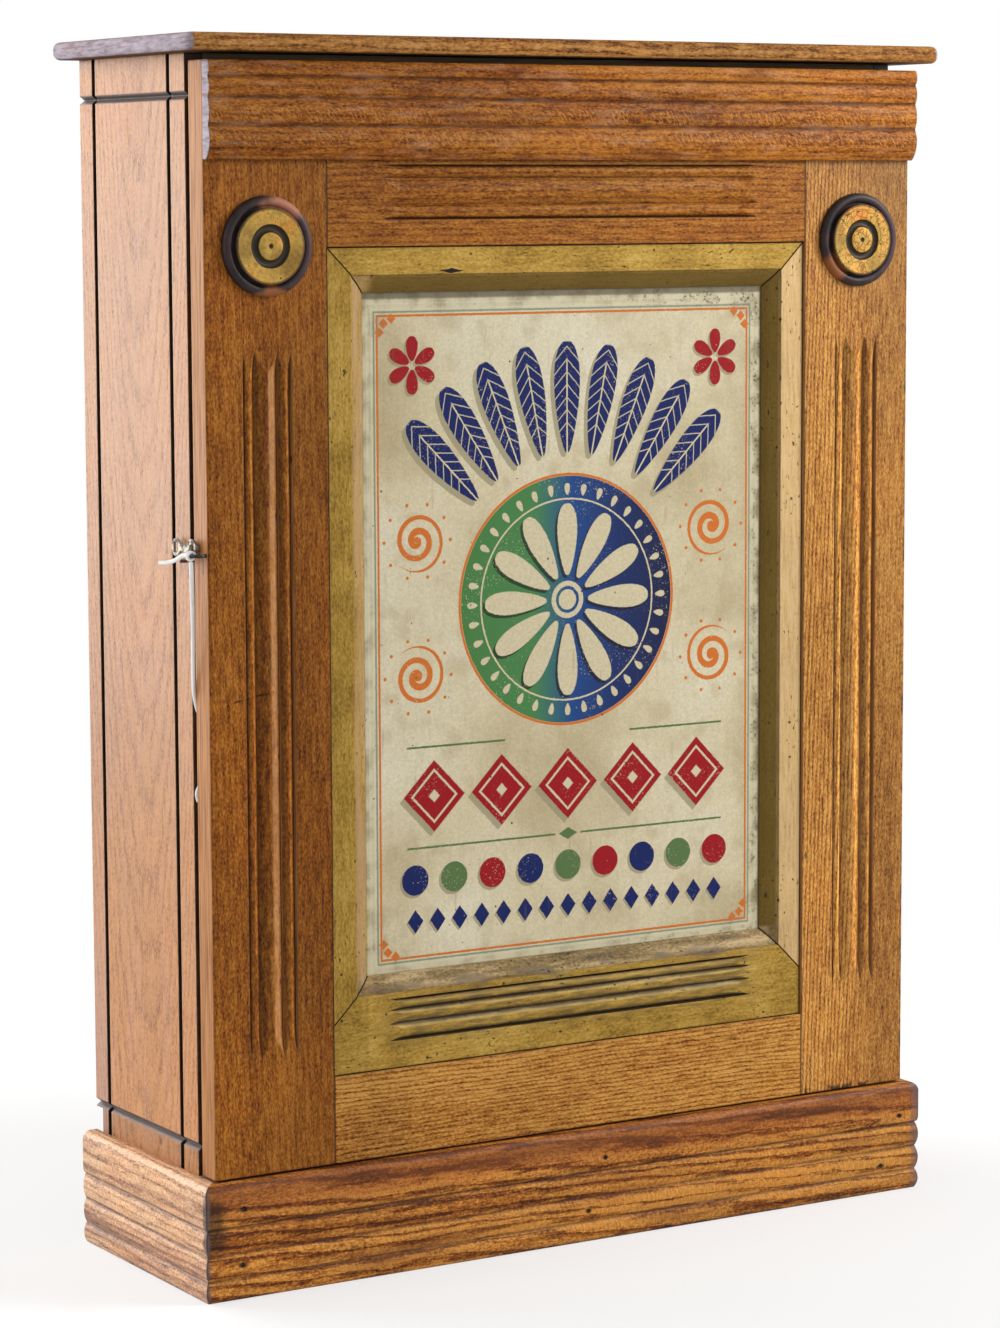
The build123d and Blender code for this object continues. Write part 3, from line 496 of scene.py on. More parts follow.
def side_marks(g, colour, rub):
    """Black saw cuts up the side, the grey V groove at its top and foot, and stained lips beside them; the
    cuts, the depths of the grooves and the front edge by the door gap carry painted shade, and the side is
    painted lighter towards its foot.
    """
    x, y, z = g.millimetres()
    pink, greyed, stain = (0.50, 0.32, 0.30), (0.40, 0.29, 0.29), (0.075, 0.035, 0.025)
    groove_grey, groove_shade, door_gap_shade = (0.135, 0.095, 0.085), (0.040, 0.030, 0.030), (0.026, 0.011, 0.006)
    nick_brown = (0.10, 0.045, 0.03)
    sunk = CASE_HALF - x.abs()
    tint = g.noise(g.point(0.0, g.y * 110, g.z * 9), detail=4)
    colour = g.mix(tint.step(0.50, 0.64) * 0.10, colour, pink)
    # Painted light: the side is made lighter towards its foot.
    colour = g.shade(colour, 1 + z.step(420, 100) * 0.17)
    back_edge = y.step(66, 68)
    colour = g.mix(back_edge * z.step(330, 110) * 0.35, colour, greyed)
    heel = z.step(90, 86)
    colour = g.shade(colour, 1 - heel * 0.20)
    spots = g.noise(g.point(g.y * 150, g.y * 40, g.z * 90), detail=4).step(0.60, 0.70)
    colour = g.mix(spots * heel.most(z.step(CASE_TOP - 5, CASE_TOP)) * 0.55, colour, stain)
    groove = z.bands(*((up, 2.3, 1.0) for up in V_GROOVES))
    colour = g.mix(groove * (0.50 + rub * 0.6).least(1.0), colour, groove_grey)
    # Painted shade: the grooves are darker the deeper they go, most on their downward faces.
    turn = g.facing()
    ceiling = turn[2].step(-0.2, -0.6)
    colour = g.mix(groove * sunk.step(0.2, 2.0) * (ceiling * 0.35 + 0.62), colour, groove_shade)
    # Painted shade: the front edge, which shows in the gap beside the door, is made near black.
    front = turn[1].step(-0.8, -0.95)
    colour = g.mix(front * (0.78 + rub * 0.3).least(1.0), colour, door_gap_shade)
    # Painted shade: the saw cuts are painted black for their depth.
    bend = (g.noise(g.point(0.0, 0.0, g.z * 45), detail=4) - 0.5) * 1.6
    cut = (y + bend).bands(*((back, 1.9, 0.7) for back in SAW_CUTS))
    nicks = g.specks(150, 0.16, 0.05, (1, 1, 0.3))
    colour = g.mix(nicks * 0.6, colour, nick_brown)
    return g.mix(cut * (0.8 + sunk.step(0.0, 0.5) * 0.2), colour, BLACK)


def door_light(g, colour):
    """Painted light and shade: lighter and darker stretches of the door, where the lamps fall more or less
    brightly on it.
    """
    x, _, z = g.millimetres()
    left_inside = x.step(-212, -202) * x.step(-100, -140)
    right_head = x.step(170, 180) * z.step(620, 680)
    left_foot = x.step(-170, -180) * z.step(250, 140)
    amount = (1 + x.step(170, 185) * 0.13 - x.step(205, 245) * 0.26 + x.step(-225, -240) * 0.22
              - left_inside * 0.12 - right_head * 0.16 + left_foot * 0.10)
    return g.shade(colour, amount)


def reed_light_and_wear(g, colour, rub):
    """The stiles' reeds: painted highlights on the lit flanks, painted shade in the dim hollows, dark quirks
    and, on the left, a rubbed middle reed.

    off is the distance across from the middle of the reeds, which stand under the rosettes.
    """
    x, y, z = g.millimetres()
    bare_oak = (0.56, 0.31, 0.145)
    right = x.step(-10, 10)
    off = x + ROSETTE_ACROSS - right * (2 * ROSETTE_ACROSS)
    sunk = y.near(-78.6, 1.9, 0.5) * z.near(REED_MIDDLE, REED_HALF, 6)
    sunk = sunk * off.abs().step(REED_SPREAD, REED_SPREAD - 1)
    lit = off.bands((-11.2, 0.2, 0.9), (2.8, 0.9, 1.4), (12.9, 0.2, 0.9))
    dim = off.bands((-5, 2.6, 2.6), (8.8, 1.2, 1.5))
    colour = g.shade(colour, 1 + (lit * 0.55 - dim * 0.26) * sunk)
    rubbed = off.near(2.9, 1.5, 1.6) * x.step(-10, -20) * (rub * 1.5).least(1.0)
    colour = g.mix(rubbed * sunk * 0.55, colour, bare_oak)
    quirk = off.bands((-16.2, 0.5, 1.3), (-9.2, 0.2, 0.9), (6.9, 0.2, 0.9), (15.8, 0.7, 1.2))
    return g.mix(quirk * sunk * (0.45 + rub * 0.5), colour, DEEP_BROWN)


def door_marks(g, colour, rub):
    """The door's painted light and shade and its reeds, a black line painted as the shade of the gap where
    rail, stile and gilt frame meet, the door's pale left edge, a top painted black as shade under the slab, a
    painted shadow under the knot, scratches and chips.
    """
    colour = reed_light_and_wear(g, door_light(g, colour), rub)
    x, y, z = g.millimetres()
    # Painted shade: the gap where rail, stile and gilt frame meet is painted as a black line.
    frame_height = z.near(381, 253, 1) * (0.9 - x.step(-10, 10) * 0.3)
    joint = (x.abs() + (rub - 0.5) * 0.6).near(RAIL_END, 0.45, 0.5)
    colour = g.mix(joint * frame_height.most(0.62), colour, BLACK)
    turn = g.facing()
    left_edge = turn[0].step(-0.7, -0.9)
    veins = g.noise(g.point(0.0, g.y * 620, g.z * 22), detail=4)
    colour = g.mix(left_edge * 0.90, colour, g.ramp(veins, (0.32, SIDE[0]), (0.5, SIDE[1]), (0.62, SIDE[2])))
    # Painted shadow: a black patch on the left edge just under the knot.
    knot_shadow = y.near(-74.8, 0.3, 0.2) * z.near(446.6, 4.6, 0.6) * left_edge
    # Painted shade: the door's top, under the slab, is painted black.
    under_slab_shade = turn[2].step(0.8, 0.95) * z.step(DOOR_HEAD - 2.4, DOOR_HEAD - 0.9)
    dents = g.specks(95, 0.13, 0.06, (1, 1, 0.45))
    slash = (z - (x + 235) * 0.16).near(365.5, 0.35, 0.6) * x.near(-228, 13.5, 1)
    dents = dents.most(slash * rub.step(0.42, 0.50) * y.step(-76, -77))
    bits = g.noise(g.point(g.x * 190, g.y * 190, g.z * 110), detail=4)
    foot_chips = bits.step(0.50, 0.58) * (z + bits * 8).step(82.5, 80.5) * x.step(165, 180)
    edge_chips = bits.step(0.53, 0.60) * (x - bits * 4).step(253.2, 254.6) * z.step(700, 690)
    chips = foot_chips.most(edge_chips * 0.8)
    return g.mix(knot_shadow.most(under_slab_shade).most(dents * 0.7).most(chips * 0.85), colour, BLACK)


def frieze_marks(g, colour, rub):
    """Light and dark ray flecks in rows along the lower ridges, dark valleys, a pale haze painted as
    highlight, painted light to the right, a top painted black as shade under the slab, and grey end wood that
    is partly painted sheen.
    """
    x, _, z = g.millimetres()
    top, middle, foot = FRIEZE_VALLEYS
    ray_light, ray_dark, smeared = (0.52, 0.23, 0.060), (0.085, 0.025, 0.008), (0.085, 0.062, 0.052)
    red_brown, pale_haze_highlight = (0.105, 0.020, 0.006), (0.62, 0.36, 0.22)
    net = g.noise(g.point(g.x * 720 + z * 0.45, 0.0, z * 0.32), detail=1, twist=0.5)
    rows = z.bands((712.5, 3.6, 1.6), (699, 3.4, 1.8)).most(z.near(728, 2.5, 1.5) * 0.4)
    broken = g.noise(g.place, scale=50, detail=3).step(0.32, 0.50)
    colour = g.mix(net.step(0.53, 0.64) * rows * broken * 0.50, colour, ray_light)
    colour = g.mix((1 - net.step(0.38, 0.48)) * rows * broken * 0.45, colour, ray_dark)
    smear = g.noise(g.point(g.x * 12, 0.0, g.z * 90), detail=3).step(0.55, 0.68)
    colour = g.mix(smear * z.bands((foot, 0.6, 2.4), (middle, 0.6, 2.0)) * 0.55, colour, smeared)
    # Painted light: the frieze is made lighter towards the right.
    colour = g.shade(colour, 1.03 + x.step(-180, 260) * 0.28)
    valley = z.bands((top, 0.2, 1.6), (middle, 0.2, 1.6), (foot, 0.2, 1.9))
    colour = g.mix(valley * (0.25 + rub * 0.7), colour, DEEP_BROWN)
    smudge = g.noise(g.point(g.x * 16, 0.0, g.z * 60 + 4), detail=4).step(0.54, 0.68)
    smudge = smudge * x.step(-200, -100) * x.step(200, 100)
    colour = g.mix(smudge * 0.60, colour, red_brown)
    # Painted highlight: a pale pink haze in soft streaks.
    haze_highlight = g.noise(g.point(g.x * 30, 0.0, g.z * 200), detail=4).step(0.50, 0.70)
    colour = g.mix(haze_highlight * 0.22, colour, pale_haze_highlight)
    # Painted shade: the frieze's top, under the slab, is painted black.
    under_slab_shade = g.facing()[2].step(0.8, 0.95) * z.step(DOOR_HEAD - 2.4, DOOR_HEAD - 0.9)
    return end_marks(g, g.mix(under_slab_shade, colour, BLACK), rub)


def end_marks(g, colour, rub):
    """Grey, open end wood at the ends of the slab and of the frieze, partly worn and partly painted sheen,
    and a black underside painted as shade.
    """
    scraped = (0.20, 0.085, 0.050)
    turn = g.facing()
    end = turn[0].abs().step(0.2, 0.55)
    line = g.noise(g.point(g.x * 90, g.y * 90, g.z * 500), detail=4)
    # The end wood's grey is partly its worn colour and partly a painted sheen.
    grey_and_sheen = g.ramp(line, (0.32, END_GREY_AND_SHEEN[0]), (0.5, END_GREY_AND_SHEEN[1]), (0.68, END_GREY_AND_SHEEN[2]))
    colour = g.mix(end * (0.75 + rub * 0.5).least(1.0), colour, grey_and_sheen)
    scrape = g.noise(g.point(g.x * 40, g.y * 26, g.z * 420), detail=3).step(0.60, 0.68) * end
    colour = g.mix(scrape * 0.55, colour, scraped)
    # Painted shade: the underside is painted black.
    return g.mix(turn[2].step(-0.8, -0.95) * 0.85, colour, BLACK)


def plinth_marks(g, colour, rub):
    """Reddish shoulder, sooty valleys, nail stains, a black smudge at the left front and a worn arris."""
    x, y, z = g.millimetres()
    stained, rosy, reddish = (0.135, 0.034, 0.010), (0.74, 0.56, 0.56), (0.245, 0.088, 0.030)
    sooty, worn = (0.040, 0.016, 0.006), (0.13, 0.095, 0.095)
    round_corner = g.x + g.y
    ticks = g.noise(g.point(round_corner * 760, 0.0, g.z * 300), detail=1) - 0.5
    # Painted light: lighter at the left end, darker at the right; the ticks are grain.
    colour = g.shade(colour, 1.13 - x.step(-120, 120) * 0.22 + ticks * 1.2)
    stain = g.noise(g.point(round_corner * 7, 0.0, g.z * 70 + 3), detail=5).step(0.50, 0.66)
    colour = g.mix(stain * 0.45, colour, stained)
    front = g.facing()[1].step(-0.2, -0.7)
    scuff = g.noise(g.point(g.x * 40, g.y * 300, g.z * 300), detail=4)
    colour = g.mix(z.step(45, 60) * front * 0.8, colour, rosy, "MULTIPLY")
    colour = g.mix(z.step(50, 66) * front * (0.10 + scuff * 0.5), colour, reddish)
    low, middle, high = PLINTH_VALLEYS
    valley = z.bands((low, 0.3, 1.4), (middle, 0.3, 1.4), (high, 0.4, 1.6))
    colour = g.mix(valley * rub.least(0.6), colour, sooty)
    colour = g.mix((z + rub * 5).step(4.5, 1.5) * 0.8, colour, BLACK)
    for nail_across, nail_up in NAILS:
        across, up = (x - nail_across) * 0.55, z - nail_up
        off = (across * across + up * up).sqrt()
        colour = g.mix((off + rub * 2.6).step(3.6, 2.2) * 0.75, colour, BLACK)
    smudge = (x + rub * 16).step(-243, -252) * z.near(47, 10, 14) * (y + 82).step(0, -2)
    colour = g.mix(smudge * 0.75, colour, BLACK)
    arris = (x.abs() + rub * 1.8).step(PLINTH_HALF - 2.5, PLINTH_HALF - 0.5)
    arris = arris * (y + rub * 1.8).step(PLINTH_FRONT + 3.3, PLINTH_FRONT + 1.3)
    right_end = (x + rub * 5).step(262, 268) * (y + 80).step(2, -3)
    return g.mix(arris.most(right_end * 0.8) * 0.75, colour, worn)


def plain_wood(name, along, tones, dust=0.3, joints=()):
    """Bare softwood inside the case: soft wide bands along the board, dulled by dust on its faces.

    joints are places across the back where two boards meet; a dark line and a soft stain follow each of them.
    """
    g = Graph(name)
    shadow, dusty, beside_joint = (0.05, 0.03, 0.02), (0.30, 0.24, 0.18), (0.085, 0.050, 0.028)
    water_run, wet_foot, knot_brown = (0.120, 0.066, 0.034), (0.085, 0.052, 0.032), (0.060, 0.028, 0.013)
    u, v, w = {"X": (g.x, g.y, g.z), "Z": (g.z, g.x, g.y)}[along]
    band = g.noise(g.point(u * 1.6, v * 40, w * 40), detail=5, twist=0.3)
    fibre = g.noise(g.point(u * 22, v * 480, w * 480), detail=4, roughness=0.6)
    lines = ((band * 9).frac() - 0.5).abs()
    tone = 0.5 + (band - 0.5) * 1.0 + (fibre - 0.5) * 1.0 - lines.step(0.30, 0.5) * 0.22
    colour = g.ramp(tone, (0.1, tones[0]), (0.5, tones[1]), (0.9, tones[2]))
    rounded = g.corner(0.8 * MM)[0]
    colour = g.mix(g.hollow(25 * MM).step(0.1, 0.9) * 0.6, colour, shadow)
    stain = g.noise(g.place, scale=9, detail=4)
    colour = g.mix(stain.step(0.5, 0.75) * dust, colour, dusty)
    for joint in joints:
        off = (g.x * 1000 - joint + (fibre - 0.5) * 1.2).abs()
        colour = g.mix(off.step(14, 0) * (stain + 0.1).least(1.0) * 0.5, colour, beside_joint)
        colour = g.mix(off.step(1.1, 0.5) * 0.92, colour, BLACK)
    if joints:
        run = g.noise(g.point(g.x * 26, 0.0, g.z * 3), detail=4)
        colour = g.mix(run.step(0.50, 0.70) * 0.32, colour, water_run)
        tide = (g.z * 1000 + run * 90).step(190, 120)
        colour = g.mix(tide * 0.5, colour, wet_foot)
        knots = g.specks(9, 0.10, 0.35, (1, 0.01, 0.6))
        colour = g.mix(knots * 0.8, colour, knot_brown)
    normal = g.bump(fibre, 0.3 * MM, 0.5, rounded)
    rough = 0.72 + (fibre - 0.5) * 0.2
    return g.finish(Base_Color=colour, Roughness=rough, Specular_IOR_Level=0.3, Normal=normal)


stile_left = oak("oak_stile_left", "Z", (-0.45, -0.16), 0.0040, FRONT, ring=0.16, pores=0.55,
                 tilt=(0.03, 0.01), shine=0.10, marks=door_marks)
stile_right = oak("oak_stile_right", "Z", (0.37, -0.20), 0.0026, GOLD, ring=0.6, wild=0.5,
                  tilt=(-0.03, 0.01), shine=0.2, calm=(0.205, 0.228), marks=door_marks)
top_rail = oak("oak_top_rail", "X", (-0.12, 0.52), 0.0036, WARM, ring=0.3, shine=0.10, marks=door_marks)
bottom_rail = oak("oak_bottom_rail", "X", (-0.10, 0.02), 0.0028, GOLD, ring=0.55, pores=0.65, wild=0.85,
                  sway=0.02, shine=0.10, marks=door_marks)
frieze = oak("oak_frieze", "X", (-0.16, 0.80), 0.0040, FRIEZE, ring=0.3, streak=0.8, gloss=0.5,
             shine=0.10, marks=frieze_marks)
plinth_front = oak("oak_plinth_front", "X", (-0.055, 0.09), 0.0070, FOOT, ring=0.75, streak=1.5, wild=1.2,
                   sway=0.03, tilt=(0.02, 0.05), shine=0.14, reach=2.4, marks=plinth_marks)
plinth_side = oak("oak_plinth_side", "Y", (0.08, -0.24), 0.0046, FOOT_SIDE, ring=0.6, pores=0.75, streak=1.0,
                  wild=0.9, sway=0.02, reach=1.8, marks=plinth_marks)
case_side = oak("oak_side", "Z", (-0.130, 0.012), 0.0026, SIDE, ring=0.34, pores=0.3, streak=0.4, wild=0.6,
                tilt=(0.06, 0.015), wear=0.4, grime=0.35, marks=side_marks)
slab = oak("oak_slab", "X", (0.05, 0.60), 0.0040, SLAB, gloss=0.62, shine=0.10, marks=end_marks)
dress(stile_left, "door_stile_left")
dress(stile_right, "door_stile_right")
dress(top_rail, "door_top_rail")
dress(bottom_rail, "door_bottom_rail")
dress(frieze, "frieze_moulding")
dress(plinth_front, "base_front_moulding")
dress(plinth_side, "base_left_moulding", "base_right_moulding")
dress(case_side, "case_side_left", "case_side_right")
dress(slab, "top_slab")

BARE = ((0.22, 0.14, 0.075), (0.42, 0.28, 0.155), (0.56, 0.40, 0.24))
DARK_BARE = ((0.12, 0.075, 0.042), (0.26, 0.17, 0.10), (0.38, 0.27, 0.17))
OLD_BARE = ((0.085, 0.042, 0.018), (0.215, 0.118, 0.052), (0.330, 0.200, 0.100))
pine_back = plain_wood("pine_back", "Z", OLD_BARE, dust=0.25, joints=(-BOARD_JOINT, BOARD_JOINT))
SHELVES = [f"shelf_{level}" for level in range(1, 7)]
dress(plain_wood("pine_level", "X", BARE), "inner_top_board", "bottom_board", *SHELVES)
dress(plain_wood("pine_upright", "Z", BARE), *(f"divider_{i}" for i in range(1, 4)))
dress(plain_wood("pine_hidden", "X", DARK_BARE), "base_front_rail", "glue_blocks", "backing_strips")
dress(plain_wood("pine_foot", "X", OLD_BARE), "base_back_rail")
dress(pine_back, *(f"back_board_{i}" for i in range(1, 4)))


# Gilt frame and rosettes

BRONZE = ((0.19, 0.105, 0.014), (0.385, 0.230, 0.038), (0.53, 0.355, 0.090))
BOLE = ((0.070, 0.050, 0.028), (0.225, 0.155, 0.070), (0.50, 0.37, 0.20))
EBONY = ((0.012, 0.008, 0.009), (0.034, 0.018, 0.018), (0.075, 0.036, 0.026))


def gilt_light(g, colour, along, grain, grit):
    """The frame's painted light: slopes shaded above, pale where the left one and the right upright catch the
    light, and the left upright a little darker.

    On the foot rail's slope the gilding is worn through to its ground.
    """
    x, y, z = g.millimetres()
    shaded, pale, lit = (0.108, 0.066, 0.014), (0.42, 0.27, 0.150), (0.66, 0.455, 0.245)
    # Painted shade: the left upright is a little darker.
    colour = g.shade(colour, 1 - x.step(-149, -151) * 0.10)
    slope = y.step(-78.7, -77.6)
    left_slope = slope * x.step(-140, -150)
    colour = g.mix((slope - left_slope) * 0.82, colour, shaded)
    if along == "Z":
        far_right = x.step(147, 150) * (1 - slope)
        colour = g.mix(far_right * (grain + 0.15).least(1.0) * 0.95, colour, lit)
    u, v, w = (g.x, g.y, g.z) if along == "X" else (g.z, g.x, g.y)
    bole = g.noise(g.point(u * 18, v * 160, w * 160), detail=4)
    foot_slope = slope * z.step(190, 187) * y.step(-70, -71)
    ground = g.ramp(bole + (grit - 0.5) * 0.5, (0.30, BOLE[0]), (0.48, BOLE[1]), (0.66, BOLE[2]))
    colour = g.mix(foot_slope * 0.75, colour, ground)
    return g.mix(left_slope * bole.step(0.25, 0.7) * 0.7, colour, pale)


def gilt_reeds(g, colour, soil, grit):
    """The foot rail's reeds: soil between them, dark quirks, crests brightened as painted highlights and a
    broken drip on the first.
    """
    x, y, z = g.millimetres()
    bed_brown, drip_grey = (0.105, 0.078, 0.036), (0.135, 0.105, 0.080)
    crest_highlight, quirk_brown = (0.52, 0.38, 0.15), (0.080, 0.058, 0.026)
    face = y.step(-74, -75)
    bed = z.step(178, 168) * z.step(137, 147) * x.abs().step(152, 122) * face
    colour = g.mix(bed * soil.step(0.40, 0.62) * 0.62, colour, bed_brown)
    drip = g.noise(g.point(g.x * 34, 0.0, g.z * 160), detail=6) + (grit - 0.5) * 0.3
    drip = drip.step(0.54, 0.62) * z.step(188, 184) * z.step(166, 172) * face * x.abs().step(150, 144)
    colour = g.mix(drip * 0.6, colour, drip_grey)
    quirk = z.bands((171.2, 0.4, 1.4), (164.6, 0.2, 1.2), (156, 0.3, 1.4), (145.8, 0.6, 1.6))
    crest = z.bands((168.4, 0.3, 0.8), (162.4, 0.3, 0.8), (153.5, 0.3, 0.9))
    cut = y.near(-77, 1.9, 0.3) * z.near(158.5, 14.5, 1) * x.abs().step(139, 136)
    # Painted highlight: the crests are made brighter.
    colour = g.mix(crest * cut * (1.1 - soil) * 0.6, colour, crest_highlight)
    return g.mix(quirk * cut * (0.3 + soil * 0.7).least(0.85), colour, quirk_brown)


def gilt(name, along):
    """Bronze paint on a hollow moulding: fine grain along it, black specks, hollows darkened as dirt and as
    painted shade, and black rims painted as the shade of the gap round it.
    """
    g = Graph(name)
    rubbed_gold, grime_and_shade_brown, spot_brown = (0.50, 0.37, 0.20), (0.035, 0.022, 0.010), (0.028, 0.016, 0.006)
    u, v, w = (g.x, g.y, g.z) if along == "X" else (g.z, g.x, g.y)
    grain = g.noise(g.point(u * 60, v * 600, w * 600), detail=3, roughness=0.6)
    grit = g.noise(g.point(u * 420, v * 760, w * 760), detail=3)
    cloud = g.noise(g.place, scale=26, detail=4)
    tone = 0.48 + (grain - 0.5) * 0.8 + (cloud - 0.5) * 1.1 + (grit - 0.5) * 1.1
    colour = g.ramp(tone, (0.1, BRONZE[0]), (0.5, BRONZE[1]), (0.9, BRONZE[2]))
    colour = gilt_light(g, colour, along, grain, grit)
    rub = g.noise(g.place, scale=140, detail=4)
    rounded, edge = g.corner(0.8 * MM)
    colour = g.mix((edge * 3 + rub * 0.9).step(0.75, 1.2) * 0.6, colour, rubbed_gold)
    soil = g.noise(g.point(u * 75, v * 420, w * 420), detail=5) + (grit - 0.5) * 0.4
    colour = gilt_reeds(g, colour, soil, grit)
    # Darker in the hollows, by how closed in they are: dirt, and painted shade.
    grime_and_shade = g.hollow(5 * MM)
    colour = g.mix((grime_and_shade * 1.5 + (rub - 0.5) * 0.4).step(0.15, 0.9) * 0.85, colour, grime_and_shade_brown)
    scratch = g.noise(g.point(u * 90, v * 420, w * 420), detail=2).step(0.70, 0.74)
    pits = g.noise(g.point(u * 240, v * 420, w * 420), detail=3)
    spots = (pits + cloud * 0.35).step(0.85, 0.90).most(g.specks(95, 0.12, 0.25)).most(scratch * 0.7)
    colour = g.mix(spots * 0.85, colour, spot_brown)
    x, y, z = g.millimetres()
    out = x.abs()
    off_corner = out.step(SIGHT_HALF - 2.5, SIGHT_HALF - 3.5) * 9
    top_mitre = (z - out - (GILT_HEAD - GILT_HALF)).abs().most(off_corner)
    foot_mitre = (z + out - (SIGHT_FOOT + SIGHT_HALF)).abs().most(off_corner)
    mitre = top_mitre.least(foot_mitre).step(1.0, 0.4)
    # Painted shade: the outer rims, at the gap round the frame, are painted black; the mitre lines are
    # joints.
    side_rim = out.step(GILT_HALF - 0.9, GILT_HALF - 0.2)
    level_rim = z.step(GILT_FOOT + 0.9, GILT_FOOT + 0.2).most(z.step(GILT_HEAD - 0.9, GILT_HEAD - 0.2))
    colour = g.mix(mitre.most(side_rim).most(level_rim) * 0.9, colour, BLACK)
    chip = (x + 88).abs() / 9 + (z - 620.4 + rub * 2).abs() / 1.6
    colour = g.mix(chip.step(1.1, 0.9) * (y + 79).step(0.1, 0.0), colour, BLACK)
    back = g.facing()[1].step(0.8, 0.95)
    colour = g.mix(back, colour, g.ramp(grain, (0.3, OLD_BARE[0]), (0.5, OLD_BARE[1]), (0.7, OLD_BARE[2])))
    normal = g.bump(grain * 0.4 - spots, 0.25 * MM, 0.5, rounded)
    return g.finish(Base_Color=colour, Metallic=0.2 - back * 0.2, Roughness=0.46 + cloud * 0.2,
                    Specular_IOR_Level=0.12, Normal=normal)


def rosette_paint():
    """Turned rosettes: a gilt disc with a black ring and eye, on a dark varnished, rubbed collar with brown
    patches; a painted sheen and a painted highlight lie on the collars, and the right disc is painted
    lighter.
    """
    g = Graph("ebonised")
    flaked, crackle, rubbed_gold = (0.05, 0.026, 0.01), (0.170, 0.056, 0.010), (0.66, 0.31, 0.060)
    sheen_grey, pink_highlight, patch_brown = (0.105, 0.058, 0.062), (0.46, 0.190, 0.110), (0.30, 0.098, 0.026)
    worn_edge, ring_black = (0.20, 0.10, 0.06), (0.016, 0.012, 0.008)
    x, _, z = g.millimetres()
    right = x.step(-10, 10)
    x, z = x + ROSETTE_ACROSS - right * (2 * ROSETTE_ACROSS), z - ROSETTE_UP
    rub = g.noise(g.place, scale=120, detail=4)
    cloud = g.noise(g.place, scale=42, detail=3)
    r = (x * x + z * z).sqrt() + (rub - 0.5) * 0.9
    leaf = g.ramp(cloud, (0.35, (0.24, 0.135, 0.022)), (0.5, (0.42, 0.26, 0.050)), (0.6, (0.48, 0.26, 0.045)),
                  (0.72, (0.50, 0.17, 0.025)))
    turned = g.noise(g.point(r * 1.3, 0.0, 0.0), detail=2)
    leaf = g.shade(leaf, 0.75 + turned * 0.5)
    flake = g.noise(g.place, scale=420, detail=3) + r * 0.004
    leaf = g.mix((flake + right * 0.05).step(0.70, 0.78), leaf, flaked)
    crack = g.cells(g.place, 230, "DISTANCE_TO_EDGE").step(0.09, 0.03) * cloud.step(0.36, 0.52)
    leaf = g.mix(crack * (right * 0.6 + 0.15), leaf, crackle)
    leaf = g.mix(rub.step(0.48, 0.66) * right * 0.6, leaf, rubbed_gold)
    # Painted light: the right disc is made lighter; the flakes vary it.
    leaf = g.shade(leaf, 1 + right * 0.22 + (flake - 0.55) * 1.4)

    ragged = (rub - 0.5) * 16
    upper = ((x - 13 + ragged).abs() / 17 + (z - 25).abs() / 14).step(1.35, 0.6) * (1 - right)
    lower = ((x - 2 + ragged).abs() / 11 + (z + 28).abs() / 6).step(1.35, 0.6) * (1 - right)
    outer = ((x + 19 + ragged * 0.3).abs() / 11 + (z + 17).abs() / 14).step(1.35, 0.6) * right
    collar = g.ramp(rub, (0.35, EBONY[0]), (0.60, EBONY[1]), (0.8, EBONY[2]))
    # Painted sheen: the collar turns greyer towards the upper right.
    collar = g.mix((x + z * 0.3).step(4, 26) * 0.45, collar, sheen_grey)
    # Painted highlight: a pink patch at the top right of the left collar.
    collar = g.mix(upper * 0.85, collar, pink_highlight)
    collar = g.mix(lower.most(outer) * 0.8, collar, patch_brown)
    rounded, edge = g.corner(1.0 * MM)
    collar = g.mix((edge * 3 + rub * 0.8).step(0.8, 1.3) * 0.35, collar, worn_edge)
    ring = r.near(10.6, 2.2, 0.5).most(r.step(1.9, 1.2))
    face = r.step(22.9, 22.3)
    colour = g.mix(face, collar, g.mix(ring * 0.96, leaf, ring_black))
    colour = g.mix(r.near(22.2, 0.4, 0.6) * 0.7, colour, BLACK)
    gold = face * (1 - ring)
    normal = g.bump(rub * 0.5 + turned * 0.4, 0.3 * MM, 0.45, rounded)
    return g.finish(Base_Color=colour, Metallic=gold * 0.2, Roughness=0.42 + gold * 0.08 + rub * 0.14,
                    Specular_IOR_Level=0.22, Normal=normal)


dress(gilt("gilt_level", "X"), "gilt_frame_top", "gilt_frame_bottom")
dress(gilt("gilt_upright", "Z"), "gilt_frame_left", "gilt_frame_right")
dress(rosette_paint(), "rosette_left", "rosette_right")


# Printed tin: x and z are millimetres across and up from the middle of the medallion

CREAM, NAVY, CRIMSON = (0.61, 0.53, 0.345), (0.006, 0.014, 0.095), (0.30, 0.006, 0.010)
GREEN, ORANGE, SHADE = (0.092, 0.160, 0.056), (0.58, 0.152, 0.022), (0.31, 0.27, 0.160)
GEM_GAP, GEM_UP = 49, -117
SWATCH_GAP, SWATCH_UP, SWATCH_RADIUS = 28, -169, 9.5
SMALL_GEM_GAP, SMALL_GEM_UP = 16, -195
ROW_END = 112
RULES = (-149, -86)
MEDALLION = 78
BORDER_HALF, BORDER_RISE, BORDER_UP = 136.5, 198.75, -18.35


def petals(x, z, count, start, end, width, spread=None):
    """Petals round a centre: each is an oval between two radii, widest near its outer end.

    A petal's half width is width times the root of 4 t (1 - t), with t from 0 at its start to 1 at its end,
    times a rise from 0.45 to 1. Returns the mask, the distance from the nearest petal's middle line, and t.
    """
    r = (x * x + z * z).sqrt()
    turn = x.angle(z)
    offset = turn.in_cell(2 * math.pi / count) * r
    t = (r - start) / (end - start)
    half = (t * (1 - t) * 4).most(0).sqrt() * (t * 0.55 + 0.45) * width
    mask = (offset.abs() - half).step(0.3, -0.3) * t.step(0.0, 0.02) * t.step(1.0, 0.98)
    if spread:
        mask = mask * turn.abs().step(spread, spread - 0.01)
    return mask, offset, t


